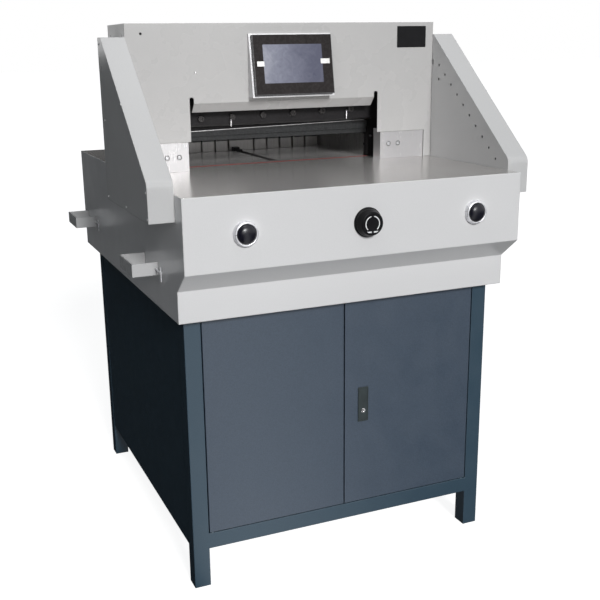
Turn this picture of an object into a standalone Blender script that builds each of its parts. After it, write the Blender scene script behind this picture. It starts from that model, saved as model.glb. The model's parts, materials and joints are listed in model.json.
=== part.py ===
# Electric paper cutter on a two-door stand.
# Metres, +Z up, the operator stands at -Y. Every Y below is a distance behind
# the front panel's face, and the empty machine_origin carries that frame.
import math

import bmesh
import bpy
from mathutils import Matrix, Vector

# Shared clearances and small habits of the build
SEAT_GAP = 0.0003
RUN_GAP = 0.0006
OVERRUN = 0.004

# Housing
HOUSING_WIDTH = 0.850
HOUSING_DEPTH = 1.077
SHEET = 0.002
TABLE_Z = 0.975
TABLE_THICK = 0.014
TABLE_CORNER = 0.004
PANEL_HIGH = 0.166
BAND_TOP_DROP = 0.215
BAND_BOTTOM_DROP = 0.289
BAND_SETBACK = 0.062
BAND_LIP = 0.020

# Stand
STAND_SIDE_INSET = 0.020
STAND_FRONT = 0.096
STAND_BACK_INSET = 0.083
STAND_TOP_DROP = 0.255
TUBE = 0.040
TUBE_WALL = 0.002
FOOT_CAP = 0.003
RAIL_BOTTOM_Z = 0.100
TOP_RAIL_HIGH = 0.036
PANEL_INSET = 0.001
DOOR_LEG_GAP = 0.0026
DOOR_CENTRE_GAP = 0.003
DOOR_RAIL_GAP = 0.0022
DOOR_SHEET = 0.0015
DOOR_DEPTH = 0.018
HINGE_FROM_EDGE = 0.008
HINGE_FROM_FACE = 0.006
HINGE_PIN_R = 0.003
HINGE_COLLAR_R = 0.0048
HINGE_PIN_REACH = 0.022
BASE_THICK = 0.004

# Door lock
LOCK_X = 0.052
LOCK_TOP_DROP = 0.313
LOCK_WIDTH = 0.028
LOCK_HEIGHT = 0.091
LOCK_PROUD = 0.0016
LOCK_BODY_DEPTH = 0.010
LOCK_RIM = 0.004
LOCK_CORE_R = 0.006
LOCK_CORE_DROP = 0.017
LOCK_CAM_LENGTH = 0.068
LOCK_CAM_WIDTH = 0.014
LOCK_CAM_THICK = 0.002

# Hood. Heights are above the table.
HOOD_FRONT = 0.416
HOOD_FRONT_DEPTH = 0.084
HOOD_REAR_DEPTH = 0.092
HOOD_HIGH = 0.359
HOOD_SHEET = 0.0016
MOUTH_SIDE_ROOM = 0.1615
MOUTH_CENTRE_X = -0.0065
COLUMN_COVER_HIGH = 0.073
COVER_STRIP = 0.022
SLOT_TOP_HIGH = 0.182
SLOT_WIDTH = 0.0108
LIP_BEND_HIGH = 0.167
LIP_BOTTOM_HIGH = 0.144
LIP_BACK = 0.020
REAR_MOUTH_SIDE_ROOM = 0.125
REAR_MOUTH_HIGH = 0.097

# Guards at the two ends of the front table. Heights are above the table.
GUARD_THICK = 0.058
GUARD_SHEET = 0.0016
GUARD_HIGH = 0.3276
GUARD_TOP_FRONT = 0.414
GUARD_BACK = 0.446
GUARD_KNEE_Y = 0.052
GUARD_KNEE_HIGH = 0.026
GUARD_KNEE_R = 0.024
GUARD_DROP = 0.058
BEAM_HOLES = 10
BEAM_HOLE_R = 0.0035
BEAM_HOLE_YS = (0.3814, 0.1064)
BEAM_HOLE_HEIGHTS = (0.2466, 0.0220)
CABLE_HOLE = (0.3814, 0.2093)
CABLE_SLOT_YS = (0.4105, 0.4155)
CABLE_SLOT_HEIGHTS = (0.249, 0.260)
BEAM_BAR = 0.022
BEAM_BAR_OVER = 0.022

# Controls on the front panel
CONTROL_DROP = 0.086
CONTROL_CENTRE_X = 0.010
BUTTON_CENTRE_X = 0.006
BUTTON_REACH_X = 0.2915
BUTTON_RING_R = 0.0285
BUTTON_RING_HIGH = 0.011
BUTTON_R = 0.0215
BUTTON_DOME_HIGH = 0.010
BUTTON_STEM_R = 0.007
BUTTON_TRAVEL = 0.004
SWITCH_BODY_R = 0.015
SWITCH_BODY_DEPTH = 0.045
KNOB_BASE_R = 0.0345
KNOB_BASE_HIGH = 0.006
KNOB_R = 0.0275
KNOB_ROOT_R = 0.032
KNOB_HIGH = 0.020
KNOB_STEM_R = 0.005

# Side brackets for a hung side table
BRACKET_OUT = 0.062
BRACKET_LENGTH = 0.122
BRACKET_DROP = 0.209
BRACKET_HIGH = 0.031
BRACKET_STRIP = 0.003
FRONT_BRACKET_Y = 0.215
REAR_BRACKET_INSET = 0.177
BRACKET_PIN_IN = 0.0055
BRACKET_PIN_R = 0.0022
BRACKET_PIN_REACH = 0.046
BRACKET_PIN_TAIL = 0.022
PIN_HANDLE_R = 0.0015
PIN_HANDLE_LENGTH = 0.034
PIN_HANDLE_DROP = 0.005

# Display on its wedge box
DISPLAY_WIDTH = 0.226
DISPLAY_HEIGHT = 0.158
DISPLAY_TOP_DROP = 0.026
DISPLAY_TOP_OUT = 0.006
DISPLAY_BOTTOM_OUT = 0.032
DISPLAY_RIM = 0.0045
SCREEN_SET_IN = 0.006
SCREEN_PROUD = 0.012

# Table furniture and machine frame
GROOVE_Y = 0.504
STICK_WIDTH = 0.016
STICK_HIGH = 0.008
STICK_LENGTH = 0.548
DRIVE_SLOT_WIDTH = 0.022
DRIVE_SLOT_SPARE = 0.039
ROD_SLOT_ROOM = (0.080, 0.022)
ROD_SLOT_AHEAD = 0.020
ROD_SLOT_BEHIND = 0.006
BED_END_ROOM = 0.095
BED_THICK = 0.030
BED_FRONT = 0.110
BED_BACK_INSET = 0.117
BED_WEB_DROP = 0.115
COLUMN_INNER_ROOM = 0.148
COLUMN_OUTER_ROOM = 0.023
COLUMN_AHEAD = 0.012
COLUMN_DEPTH = 0.072
BEAM_GAP_HIGH = 0.105
BEAM_HIGH = 0.110
FOOT_PLATE_END_ROOMS = (0.148, 0.157)
FOOT_PLATE_SHEET = 0.002
FOOT_PLATE_BACK = 0.040
FOOT_PLATE_OVER = 0.008
SIDE_GAUGE_ROOM = 0.1515
SIDE_GAUGE_THICK = 0.003
SIDE_GAUGE_HIGH = 0.060
SIDE_GAUGE_FRONT = 0.529
SIDE_GAUGE_BACK_INSET = 0.047

# Knife. Heights are above the table.
KNIFE_DROP = 0.1015
KNIFE_SHIFT = 0.050
CARRIER_END_ROOM = 0.090
CARRIER_FRONT = 0.470
CARRIER_THICK = 0.026
CARRIER_HEIGHTS = (0.109, 0.331)
BLADE_END_ROOM = 0.140
BLADE_THICK = 0.008
BLADE_EDGE_HIGH = 0.1025
BLADE_HIGH = 0.066
BLADE_BEVEL_HIGH = 0.016
BLADE_EDGE_LAND = 0.0006
BLOCK_WIDTH = 0.024
BLOCK_LENGTH = 0.030
BLOCK_HIGH = 0.191
BLOCK_END_ROOMS = (0.153, 0.203)
ROD_END_ROOM = 0.110
ROD_WIDTH = 0.030
ROD_THICK = 0.012
ROD_TOP_HIGH = 0.150
ROD_BOTTOM_DROP = 0.090
ROD_EYE_R = 0.018
ROD_PIN_R = 0.010
CRANK_R = 0.070
CRANK_THICK = 0.018
CRANK_PIN_R = 0.009
CRANK_PIN_HIGH = 0.010
ROD_PIN_GAP = 0.0015
GEARBOX_WIDTH = 0.120
GEARBOX_DEPTH = 0.100
GEARBOX_HIGH = 0.170
GEARBOX_BORE_DEEP = 0.060
KNIFE_MOTOR_R = 0.048
KNIFE_MOTOR_LENGTH = 0.230

# Clamp. Heights are above the table.
CLAMP_END_ROOM = 0.153
CLAMP_FRONT = 0.5065
CLAMP_DEPTH = 0.0595
CLAMP_HEIGHTS = (0.0655, 0.0995)
CLAMP_FACE_HIGH = 0.022
CLAMP_STEP = 0.004
CLAMP_TRAVEL = 0.0625
CLAMP_ROD_FROM_END = 0.072
CLAMP_ROD_R = 0.010
CLAMP_DRIVE_BEHIND = 0.0385
CLAMP_MOTOR = 0.060
CLAMP_MOTOR_HIGH = 0.044
YOKE_SPARE = 0.0032
YOKE_HIGH = 0.016
YOKE_DEPTH = 0.036
CLAMP_NUT_R = 0.016

# Backgauge
GAUGE_FROM_REAR = 0.247
GAUGE_REAR_ROOM = 0.087
GAUGE_FRONT_ROOM = 0.024
GAUGE_END_ROOM = 0.157
GAUGE_HIGH = 0.088
GAUGE_BACK_THICK = 0.010
GAUGE_TOOTH_DEPTH = 0.014
TOOTH_GAP = 0.006
TOOTH_SHIFT = 0.014
CENTRE_TOOTH = 0.082
END_TOOTH = 0.057
TEETH_A_SIDE = 5
GAUGE_SHIM = 0.0008
NECK_AHEAD = 0.021
NECK_SIDE_GAP = 0.0015
NECK_CAP_WIDTH = 0.018
NECK_CAP_X = -0.008
DRIVE_DROP = 0.053
SCREW_R = 0.008
JOURNAL_R = 0.006
SCREW_START = 0.528
SCREW_BACK_INSET = 0.019
BRACKET_PLATE = 0.014
CARRIAGE_LENGTH = 0.050
CARRIAGE_WIDTH = 0.230
CARRIAGE_HIGH = 0.034
GUIDE_X = 0.095
GUIDE_R = 0.008
GAUGE_MOTOR = 0.057
GAUGE_MOTOR_LENGTH = 0.060
HANGER_WIDTH = 0.240
HANGER_DROP = 0.060

# Cord inlet
GLAND_X = 0.250
GLAND_HIGH = 0.059
GLAND_R = 0.011
GLAND_FLANGE_R = 0.015
GLAND_OUT = 0.018
GLAND_BORE_R = 0.005
GLAND_FLANGE_HIGH = 0.005
GLAND_TAIL = 0.010

# Worked out once and used by several pieces. Widths and rooms are measured from
# the housing's ends, depths from its front or back, heights from the table.
HALF = HOUSING_WIDTH / 2
TABLE_UNDER = TABLE_Z - TABLE_THICK
PANEL_BOTTOM_Z = TABLE_Z - PANEL_HIGH
BAND_TOP_Z = TABLE_Z - BAND_TOP_DROP
BAND_BOTTOM_Z = TABLE_Z - BAND_BOTTOM_DROP
STAND_TOP_Z = TABLE_Z - STAND_TOP_DROP
STAND_WIDTH = HOUSING_WIDTH - 2 * STAND_SIDE_INSET
STAND_HALF = STAND_WIDTH / 2
STAND_BACK = HOUSING_DEPTH - STAND_BACK_INSET
LOCK_Z = STAND_TOP_Z - LOCK_TOP_DROP
BASE_Z = STAND_TOP_Z + SEAT_GAP
BASE_TOP = BASE_Z + BASE_THICK
HOOD_SEAM = HOOD_FRONT + HOOD_FRONT_DEPTH
HOOD_DEPTH = HOOD_FRONT_DEPTH + HOOD_REAR_DEPTH
HOOD_BACK = HOOD_FRONT + HOOD_DEPTH
HOOD_TOP_Z = TABLE_Z + HOOD_HIGH
MOUTH_WIDTH = HOUSING_WIDTH - 2 * MOUTH_SIDE_ROOM
MOUTH_X = (MOUTH_CENTRE_X - MOUTH_WIDTH / 2, MOUTH_CENTRE_X + MOUTH_WIDTH / 2)
REAR_MOUTH_WIDTH = HOUSING_WIDTH - 2 * REAR_MOUTH_SIDE_ROOM
COLUMN_COVER_Z = TABLE_Z + COLUMN_COVER_HIGH
SLOT_TOP_Z = TABLE_Z + SLOT_TOP_HIGH
LIP_BEND_Z = TABLE_Z + LIP_BEND_HIGH
LIP_BOTTOM_Z = TABLE_Z + LIP_BOTTOM_HIGH
REAR_MOUTH_TOP_Z = TABLE_Z + REAR_MOUTH_HIGH
GUARD_TOP_Z = TABLE_Z + GUARD_HIGH
GUARD_KNEE_Z = TABLE_Z + GUARD_KNEE_HIGH
GUARD_BOTTOM_Z = TABLE_Z - GUARD_DROP
BEAM_HOLE_FIRST = (BEAM_HOLE_YS[0], TABLE_Z + BEAM_HOLE_HEIGHTS[0])
BEAM_HOLE_LAST = (BEAM_HOLE_YS[1], TABLE_Z + BEAM_HOLE_HEIGHTS[1])
CONTROL_Z = TABLE_Z - CONTROL_DROP
BRACKET_Z = TABLE_Z - BRACKET_DROP
BRACKET_FRONT_YS = (FRONT_BRACKET_Y, HOUSING_DEPTH - REAR_BRACKET_INSET)
DISPLAY_TOP_Z = HOOD_TOP_Z - DISPLAY_TOP_DROP
DISPLAY_TILT = math.atan2(DISPLAY_BOTTOM_OUT - DISPLAY_TOP_OUT, DISPLAY_HEIGHT)

CARRIER_HALF = HALF - CARRIER_END_ROOM
CARRIER_Y = (CARRIER_FRONT, CARRIER_FRONT + CARRIER_THICK)
CARRIER_Z = (TABLE_Z + CARRIER_HEIGHTS[0], TABLE_Z + CARRIER_HEIGHTS[1])
BLADE_HALF = HALF - BLADE_END_ROOM
BLADE_Y = (CARRIER_Y[1] + SEAT_GAP, CARRIER_Y[1] + SEAT_GAP + BLADE_THICK)
BLADE_EDGE_Z = TABLE_Z + BLADE_EDGE_HIGH
BLOCK_Z = TABLE_Z + BLOCK_HIGH
BLOCK_XS = (BLOCK_END_ROOMS[0] - HALF, HALF - BLOCK_END_ROOMS[1])
ROD_X = ROD_END_ROOM - HALF
ROD_TOP_Z = TABLE_Z + ROD_TOP_HIGH
ROD_BOTTOM_Z = TABLE_Z - ROD_BOTTOM_DROP
ROD_SLOT_X = (ROD_X - ROD_SLOT_ROOM[0], ROD_X + ROD_SLOT_ROOM[1])
ROD_SLOT_Y = (CARRIER_Y[0] - ROD_SLOT_AHEAD, CARRIER_Y[0] + ROD_SLOT_BEHIND)
KNIFE_STROKE = math.hypot(KNIFE_DROP, KNIFE_SHIFT)
KNIFE_TILT = math.atan2(KNIFE_SHIFT, KNIFE_DROP)
CRANK_X = ROD_X - KNIFE_SHIFT / 2
CRANK_Z = ROD_BOTTOM_Z - KNIFE_DROP / 2
CRANK_FRONT = CARRIER_Y[0] + ROD_PIN_GAP + CRANK_PIN_HIGH

STICK_HALF = STICK_LENGTH / 2
BED_X = HALF - BED_END_ROOM
BED_Y = (BED_FRONT, HOUSING_DEPTH - BED_BACK_INSET)
BED_WEB_TOP_Z = TABLE_Z - BED_WEB_DROP
COLUMN_INNER_X = HALF - COLUMN_INNER_ROOM
COLUMN_OUTER_X = HALF - COLUMN_OUTER_ROOM
COLUMN_Y = (CARRIER_Y[1] + COLUMN_AHEAD, CARRIER_Y[1] + COLUMN_AHEAD + COLUMN_DEPTH)
BEAM_BOTTOM_Z = TABLE_Z + BEAM_GAP_HIGH
BEAM_TOP_Z = BEAM_BOTTOM_Z + BEAM_HIGH
LEFT_FOOT_PLATE_X = (HALF - FOOT_PLATE_END_ROOMS[0], COLUMN_OUTER_X)
RIGHT_FOOT_PLATE_X = (HALF - FOOT_PLATE_END_ROOMS[1], COLUMN_OUTER_X)

CLAMP_HALF = HALF - CLAMP_END_ROOM
CLAMP_Y = (CLAMP_FRONT, CLAMP_FRONT + CLAMP_DEPTH)
CLAMP_Z = (TABLE_Z + CLAMP_HEIGHTS[0], TABLE_Z + CLAMP_HEIGHTS[1])
CLAMP_DRIVE_Y = CLAMP_FRONT + CLAMP_DRIVE_BEHIND
CLAMP_ROD_X = CLAMP_HALF - CLAMP_ROD_FROM_END
CLAMP_RODS = ((-CLAMP_ROD_X, CLAMP_ROD_R), (CLAMP_ROD_X, CLAMP_ROD_R), (0.0, SCREW_R))
YOKE_BOTTOM_Z = BEAM_TOP_Z + CLAMP_MOTOR_HIGH + CLAMP_TRAVEL + YOKE_SPARE
YOKE_Z = (YOKE_BOTTOM_Z, YOKE_BOTTOM_Z + YOKE_HIGH)

GAUGE_Y = HOUSING_DEPTH - GAUGE_FROM_REAR
GAUGE_HALF = HALF - GAUGE_END_ROOM
TOOTH_PITCH = (GAUGE_HALF - CENTRE_TOOTH / 2 - END_TOOTH) / (TEETH_A_SIDE - 1)
DRIVE_Z = TABLE_Z - DRIVE_DROP
DRIVE_SLOT_Y = (
    CLAMP_Y[1] + GAUGE_FRONT_ROOM - NECK_AHEAD - DRIVE_SLOT_SPARE,
    GAUGE_Y + GAUGE_FROM_REAR - GAUGE_REAR_ROOM + DRIVE_SLOT_SPARE,
)
SCREW_Y = (SCREW_START, HOUSING_DEPTH - SCREW_BACK_INSET)
GLAND_Z = BAND_BOTTOM_Z + GLAND_HIGH
FRONT_REACH = KNOB_BASE_HIGH + KNOB_HIGH
ORIGIN_Y = (FRONT_REACH - HOUSING_DEPTH - GLAND_OUT) / 2

ALONG_X = (math.pi / 2, 0.0, math.pi / 2)
ALONG_Y = (math.pi / 2, 0.0, 0.0)
ALONG_Z = (0.0, 0.0, 0.0)

for old in list(bpy.data.objects):
    bpy.data.objects.remove(old, do_unlink=True)

parts = bpy.data.collections.new("electric_paper_cutter")
cutters = bpy.data.collections.new("cutters")
bpy.context.scene.collection.children.link(parts)
bpy.context.scene.collection.children.link(cutters)
cutters.hide_render = True

origin = bpy.data.objects.new("machine_origin", None)
origin.location = (0.0, ORIGIN_Y, 0.0)
parts.objects.link(origin)


# Materials
def material(name, colour, roughness, metallic=0.0):
    made = bpy.data.materials.new(name)
    made.use_nodes = True
    shader = made.node_tree.nodes["Principled BSDF"]
    shader.inputs["Base Color"].default_value = (*colour, 1.0)
    shader.inputs["Roughness"].default_value = roughness
    shader.inputs["Metallic"].default_value = metallic
    made.diffuse_color = (*colour, 1.0)
    return made


GREY_PAINT = material("grey_paint", (0.62, 0.63, 0.62), 0.45)
SLATE_PAINT = material("slate_paint", (0.075, 0.110, 0.145), 0.45)
POLISHED_STEEL = material("polished_steel", (0.62, 0.60, 0.57), 0.25, 1.0)
TOOL_STEEL = material("tool_steel", (0.50, 0.50, 0.51), 0.30, 1.0)
CHROME = material("chrome", (0.80, 0.80, 0.82), 0.10, 1.0)
BLACK_IRON = material("black_iron", (0.020, 0.020, 0.022), 0.50)
DARK_IRON = material("dark_iron", (0.085, 0.090, 0.095), 0.45)
BLACK_PLASTIC = material("black_plastic", (0.015, 0.015, 0.017), 0.30)
BLACK_GLASS = material("black_glass", (0.012, 0.013, 0.016), 0.08)
RED_PLASTIC = material("red_plastic", (0.55, 0.05, 0.04), 0.45)
MOTOR_PAINT = material("motor_paint", (0.10, 0.16, 0.24), 0.50)
CAST_ALUMINIUM = material("cast_aluminium", (0.52, 0.53, 0.54), 0.50, 1.0)
BRONZE = material("bronze", (0.50, 0.33, 0.14), 0.35, 1.0)


# Makers of single shapes
def new_object(name, mesh, finish=None, location=(0, 0, 0), rotation=(0, 0, 0), parent=None):
    made = bpy.data.objects.new(name, mesh)
    made.location = location
    made.rotation_euler = rotation
    made.parent = parent or origin
    if finish:
        made.data.materials.append(finish)
        parts.objects.link(made)
    else:
        cutters.objects.link(made)
        made.hide_render = True
        made.display_type = "WIRE"
    return made


def mesh_from(builder, name):
    shape = bmesh.new()
    builder(shape)
    bmesh.ops.recalc_face_normals(shape, faces=shape.faces)
    mesh = bpy.data.meshes.new(name)
    shape.to_mesh(mesh)
    shape.free()
    return mesh


def add_box(shape, xs, ys, zs):
    size = Vector((xs[1] - xs[0], ys[1] - ys[0], zs[1] - zs[0]))
    centre = Vector(((xs[0] + xs[1]) / 2, (ys[0] + ys[1]) / 2, (zs[0] + zs[1]) / 2))
    place = Matrix.Translation(centre) @ Matrix.Diagonal((*size, 1.0))
    bmesh.ops.create_cube(shape, size=1.0, matrix=place)


def add_cylinder(shape, centre, radius, length, axis="Z", sides=20, top_radius=None):
    turns = {"X": Matrix.Rotation(math.pi / 2, 4, "Y"), "Y": Matrix.Rotation(math.pi / 2, 4, "X")}
    place = Matrix.Translation(Vector(centre)) @ turns.get(axis, Matrix.Identity(4))
    end_radius = radius if top_radius is None else top_radius
    bmesh.ops.create_cone(
        shape, cap_ends=True, segments=sides, radius1=radius, radius2=end_radius, depth=length, matrix=place
    )


def box(name, finish, xs, ys, zs, parent=None):
    return new_object(name, mesh_from(lambda shape: add_box(shape, xs, ys, zs), name), finish, parent=parent)


def cut(made, cutter, name="cut"):
    change = made.modifiers.new(name, "BOOLEAN")
    change.operation = "DIFFERENCE"
    change.solver = "EXACT"
    change.object = cutter


def join_on(made, other):
    change = made.modifiers.new("union", "BOOLEAN")
    change.operation = "UNION"
    change.solver = "EXACT"
    change.object = other


def joined(name, finish, builders, location=(0, 0, 0), parent=None):
    """One solid from shapes that run into each other: the first, with a union for each of the rest."""
    made = new_object(name, mesh_from(builders[0], name), finish, location, parent=parent)
    for index, builder in enumerate(builders[1:]):
        extra = "%s_add_%d" % (name, index)
        join_on(made, new_object(extra, mesh_from(builder, extra), None, location, parent=parent))
    return made


def outline_mesh(name, outlines, thickness):
    """A flat outline, with any holes as further outlines, made solid: centred on its own plane."""
    curve = bpy.data.curves.new(name, "CURVE")
    curve.dimensions = "2D"
    curve.fill_mode = "BOTH"
    curve.extrude = thickness / 2
    for points in outlines:
        spline = curve.splines.new("POLY")
        spline.points.add(len(points) - 1)
        for point, place in zip(spline.points, points):
            point.co = (place[0], place[1], 0.0, 1.0)
        spline.use_cyclic_u = True
    holder = bpy.data.objects.new(name, curve)
    bpy.context.scene.collection.objects.link(holder)
    bpy.context.view_layer.update()
    graph = bpy.context.evaluated_depsgraph_get()
    mesh = bpy.data.meshes.new_from_object(holder.evaluated_get(graph))
    bpy.data.objects.remove(holder, do_unlink=True)
    shape = bmesh.new()
    shape.from_mesh(mesh)
    bmesh.ops.remove_doubles(shape, verts=shape.verts, dist=SEAT_GAP / 10)
    bmesh.ops.recalc_face_normals(shape, faces=shape.faces)
    shape.to_mesh(mesh)
    shape.free()
    return mesh


def plate(name, finish, outlines, thickness, location, rotation, parent=None):
    return new_object(name, outline_mesh(name, outlines, thickness), finish, location, rotation, parent)


def turned(name, finish, profile, location, axis="Z", steps=24, parent=None):
    """A profile of (radius, height) pairs, top to bottom, turned about the local Z axis."""
    turns = {"Z": ALONG_Z, "-Y": ALONG_Y, "Y": (-math.pi / 2, 0.0, 0.0)}
    mesh = bpy.data.meshes.new(name)
    points = [(radius, 0.0, height) for radius, height in profile]
    links = [(index, index + 1) for index in range(len(points) - 1)]
    if profile[0][0] > 0.0:
        links.append((len(points) - 1, 0))
    mesh.from_pydata(points, links, [])
    made = new_object(name, mesh, finish, location, turns[axis], parent)
    screw = made.modifiers.new("turned", "SCREW")
    screw.steps = steps
    screw.render_steps = steps
    screw.use_merge_vertices = True
    screw.merge_threshold = 0.00001
    screw.use_smooth_shade = False
    return made


def circle(centre, radius, sides=20):
    angles = [2 * math.pi * index / sides for index in range(sides)]
    return [(centre[0] + radius * math.cos(a), centre[1] + radius * math.sin(a)) for a in angles]


def arc(centre, radius, start, end, steps):
    angles = [math.radians(start + (end - start) * index / steps) for index in range(steps + 1)]
    return [(centre[0] + radius * math.cos(a), centre[1] + radius * math.sin(a)) for a in angles]


def mirrored(span):
    return (-span[1], -span[0])


# Stand: legs, rails, panels and the two doors
RAIL_TOP_Z = RAIL_BOTTOM_Z + TUBE
TOP_RAIL_Z = STAND_TOP_Z - TOP_RAIL_HIGH
LEG_INNER = STAND_HALF - TUBE


def box_builder(*spans):
    def build(shape):
        for xs, ys, zs in spans:
            add_box(shape, xs, ys, zs)

    return build


def cylinder_builder(centre, radius, length, axis="Z", sides=20):
    return lambda shape: add_cylinder(shape, centre, radius, length, axis, sides)


def tube_core(span, axis, low_end, high_end):
    """The hollow of a square tube, moved at its two ends along one axis."""
    core = [(low + TUBE_WALL, high - TUBE_WALL) for low, high in span]
    core[axis] = (span[axis][0] - low_end, span[axis][1] + high_end)
    return tuple(core)


def stand_frame():
    """Four legs closed at the foot, rails welded between them, and the doors' pivot pins on the rails."""
    legs = []
    for side in (-1, 1):
        xs = tuple(sorted((side * STAND_HALF, side * LEG_INNER)))
        for front in (STAND_FRONT, STAND_BACK - TUBE):
            legs.append((xs, (front, front + TUBE), (0.0, STAND_TOP_Z)))
    weld = TUBE_WALL / 2
    long_x = (-LEG_INNER - weld, LEG_INNER + weld)
    side_y = (STAND_FRONT + TUBE - weld, STAND_BACK - TUBE + weld)
    side_x = (LEG_INNER, STAND_HALF - PANEL_INSET - DOOR_SHEET - SEAT_GAP)
    back_y = (STAND_BACK - TUBE, STAND_BACK - PANEL_INSET - DOOR_SHEET)
    heights = ((RAIL_BOTTOM_Z, RAIL_TOP_Z), (TOP_RAIL_Z, STAND_TOP_Z))
    long_rails = [(long_x, ys, zs) for zs in heights for ys in ((STAND_FRONT, STAND_FRONT + TUBE), back_y)]
    side_rails = [(xs, side_y, zs) for zs in heights for xs in (side_x, mirrored(side_x))]
    builders = [box_builder(span) for span in legs + long_rails + side_rails]

    collar = DOOR_RAIL_GAP - SEAT_GAP
    for side in (-1, 1):
        for start, way in ((RAIL_TOP_Z, 1), (TOP_RAIL_Z, -1)):
            at = (side * HINGE_X, HINGE_Y)
            middle = start + way * (collar - weld) / 2
            builders.append(cylinder_builder((*at, middle), HINGE_COLLAR_R, collar + weld, sides=16))
            middle = start + way * (HINGE_PIN_REACH - weld) / 2
            builders.append(cylinder_builder((*at, middle), HINGE_PIN_R, HINGE_PIN_REACH + weld, sides=16))
    frame = joined("stand_frame", SLATE_PAINT, builders)

    into_leg = TUBE_WALL * 2
    hollows = {
        "leg_hollows": [tube_core(leg, 2, -FOOT_CAP, OVERRUN) for leg in legs],
        "long_rail_hollows": [tube_core(rail, 0, into_leg, into_leg) for rail in long_rails],
        "side_rail_hollows": [tube_core(rail, 1, into_leg, into_leg) for rail in side_rails],
    }
    for name, cores in hollows.items():
        cut(frame, new_object(name, mesh_from(box_builder(*cores), name)), name)


def stand_panels():
    outer_x = STAND_HALF - PANEL_INSET
    side_x = (outer_x - DOOR_SHEET, outer_x)
    side_y = (STAND_FRONT + TUBE + SEAT_GAP, STAND_BACK - TUBE - SEAT_GAP)
    heights = (RAIL_BOTTOM_Z, STAND_TOP_Z - SHEET)
    outer_y = STAND_BACK - PANEL_INSET
    back_y = (outer_y - DOOR_SHEET + SEAT_GAP, outer_y)
    back_x = (-LEG_INNER + SEAT_GAP, LEG_INNER - SEAT_GAP)
    box("left_stand_panel", SLATE_PAINT, mirrored(side_x), side_y, heights)
    box("right_stand_panel", SLATE_PAINT, side_x, side_y, heights)
    box("back_stand_panel", SLATE_PAINT, back_x, back_y, heights)

    reach_x = STAND_HALF - PANEL_INSET - DOOR_SHEET - SEAT_GAP
    inner_x = LEG_INNER - SEAT_GAP
    front = STAND_FRONT + TUBE / 2
    front_in = STAND_FRONT + TUBE + SEAT_GAP
    back_in = STAND_BACK - TUBE - SEAT_GAP
    back = STAND_BACK - TUBE + TUBE / 2
    floor = [
        (-inner_x, front), (inner_x, front), (inner_x, front_in), (reach_x, front_in),
        (reach_x, back_in), (inner_x, back_in), (inner_x, back), (-inner_x, back),
        (-inner_x, back_in), (-reach_x, back_in), (-reach_x, front_in), (-inner_x, front_in),
    ]
    centre_z = RAIL_TOP_Z + SEAT_GAP + DOOR_SHEET / 2
    plate("stand_floor", SLATE_PAINT, [floor], DOOR_SHEET, (0, 0, centre_z), ALONG_Z)


DOOR_Z = (RAIL_TOP_Z + DOOR_RAIL_GAP, TOP_RAIL_Z - DOOR_RAIL_GAP)
HINGE_X = LEG_INNER - DOOR_LEG_GAP - HINGE_FROM_EDGE
HINGE_Y = STAND_FRONT + HINGE_FROM_FACE


def door(name, side):
    """A folded pan, open at the back. Its origin is on the hinge line at the floor."""
    empty = bpy.data.objects.new(name + "_axis", None)
    empty.location = (side * HINGE_X, HINGE_Y, 0.0)
    empty.parent = origin
    parts.objects.link(empty)
    outer = side * HINGE_FROM_EDGE
    inner = -side * (HINGE_X - DOOR_CENTRE_GAP / 2)
    xs = tuple(sorted((outer, inner)))
    ys = (-HINGE_FROM_FACE, DOOR_DEPTH - HINGE_FROM_FACE)

    def build(shape):
        add_box(shape, xs, ys, DOOR_Z)
        back = [face for face in shape.faces if face.calc_center_median().y > ys[1] - SEAT_GAP]
        bmesh.ops.delete(shape, geom=back, context="FACES")

    pan = new_object(name, mesh_from(build, name), SLATE_PAINT, parent=empty)
    shell = pan.modifiers.new("sheet", "SOLIDIFY")
    shell.thickness = DOOR_SHEET
    shell.offset = -1.0
    shell.use_even_offset = True

    def build_bores(shape):
        for height in DOOR_Z:
            add_cylinder(shape, (0, 0, height), HINGE_PIN_R + SEAT_GAP, DOOR_SHEET * 4, sides=16)

    cut(pan, new_object(name + "_bores", mesh_from(build_bores, name + "_bores"), parent=empty))
    return pan, empty


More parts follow.
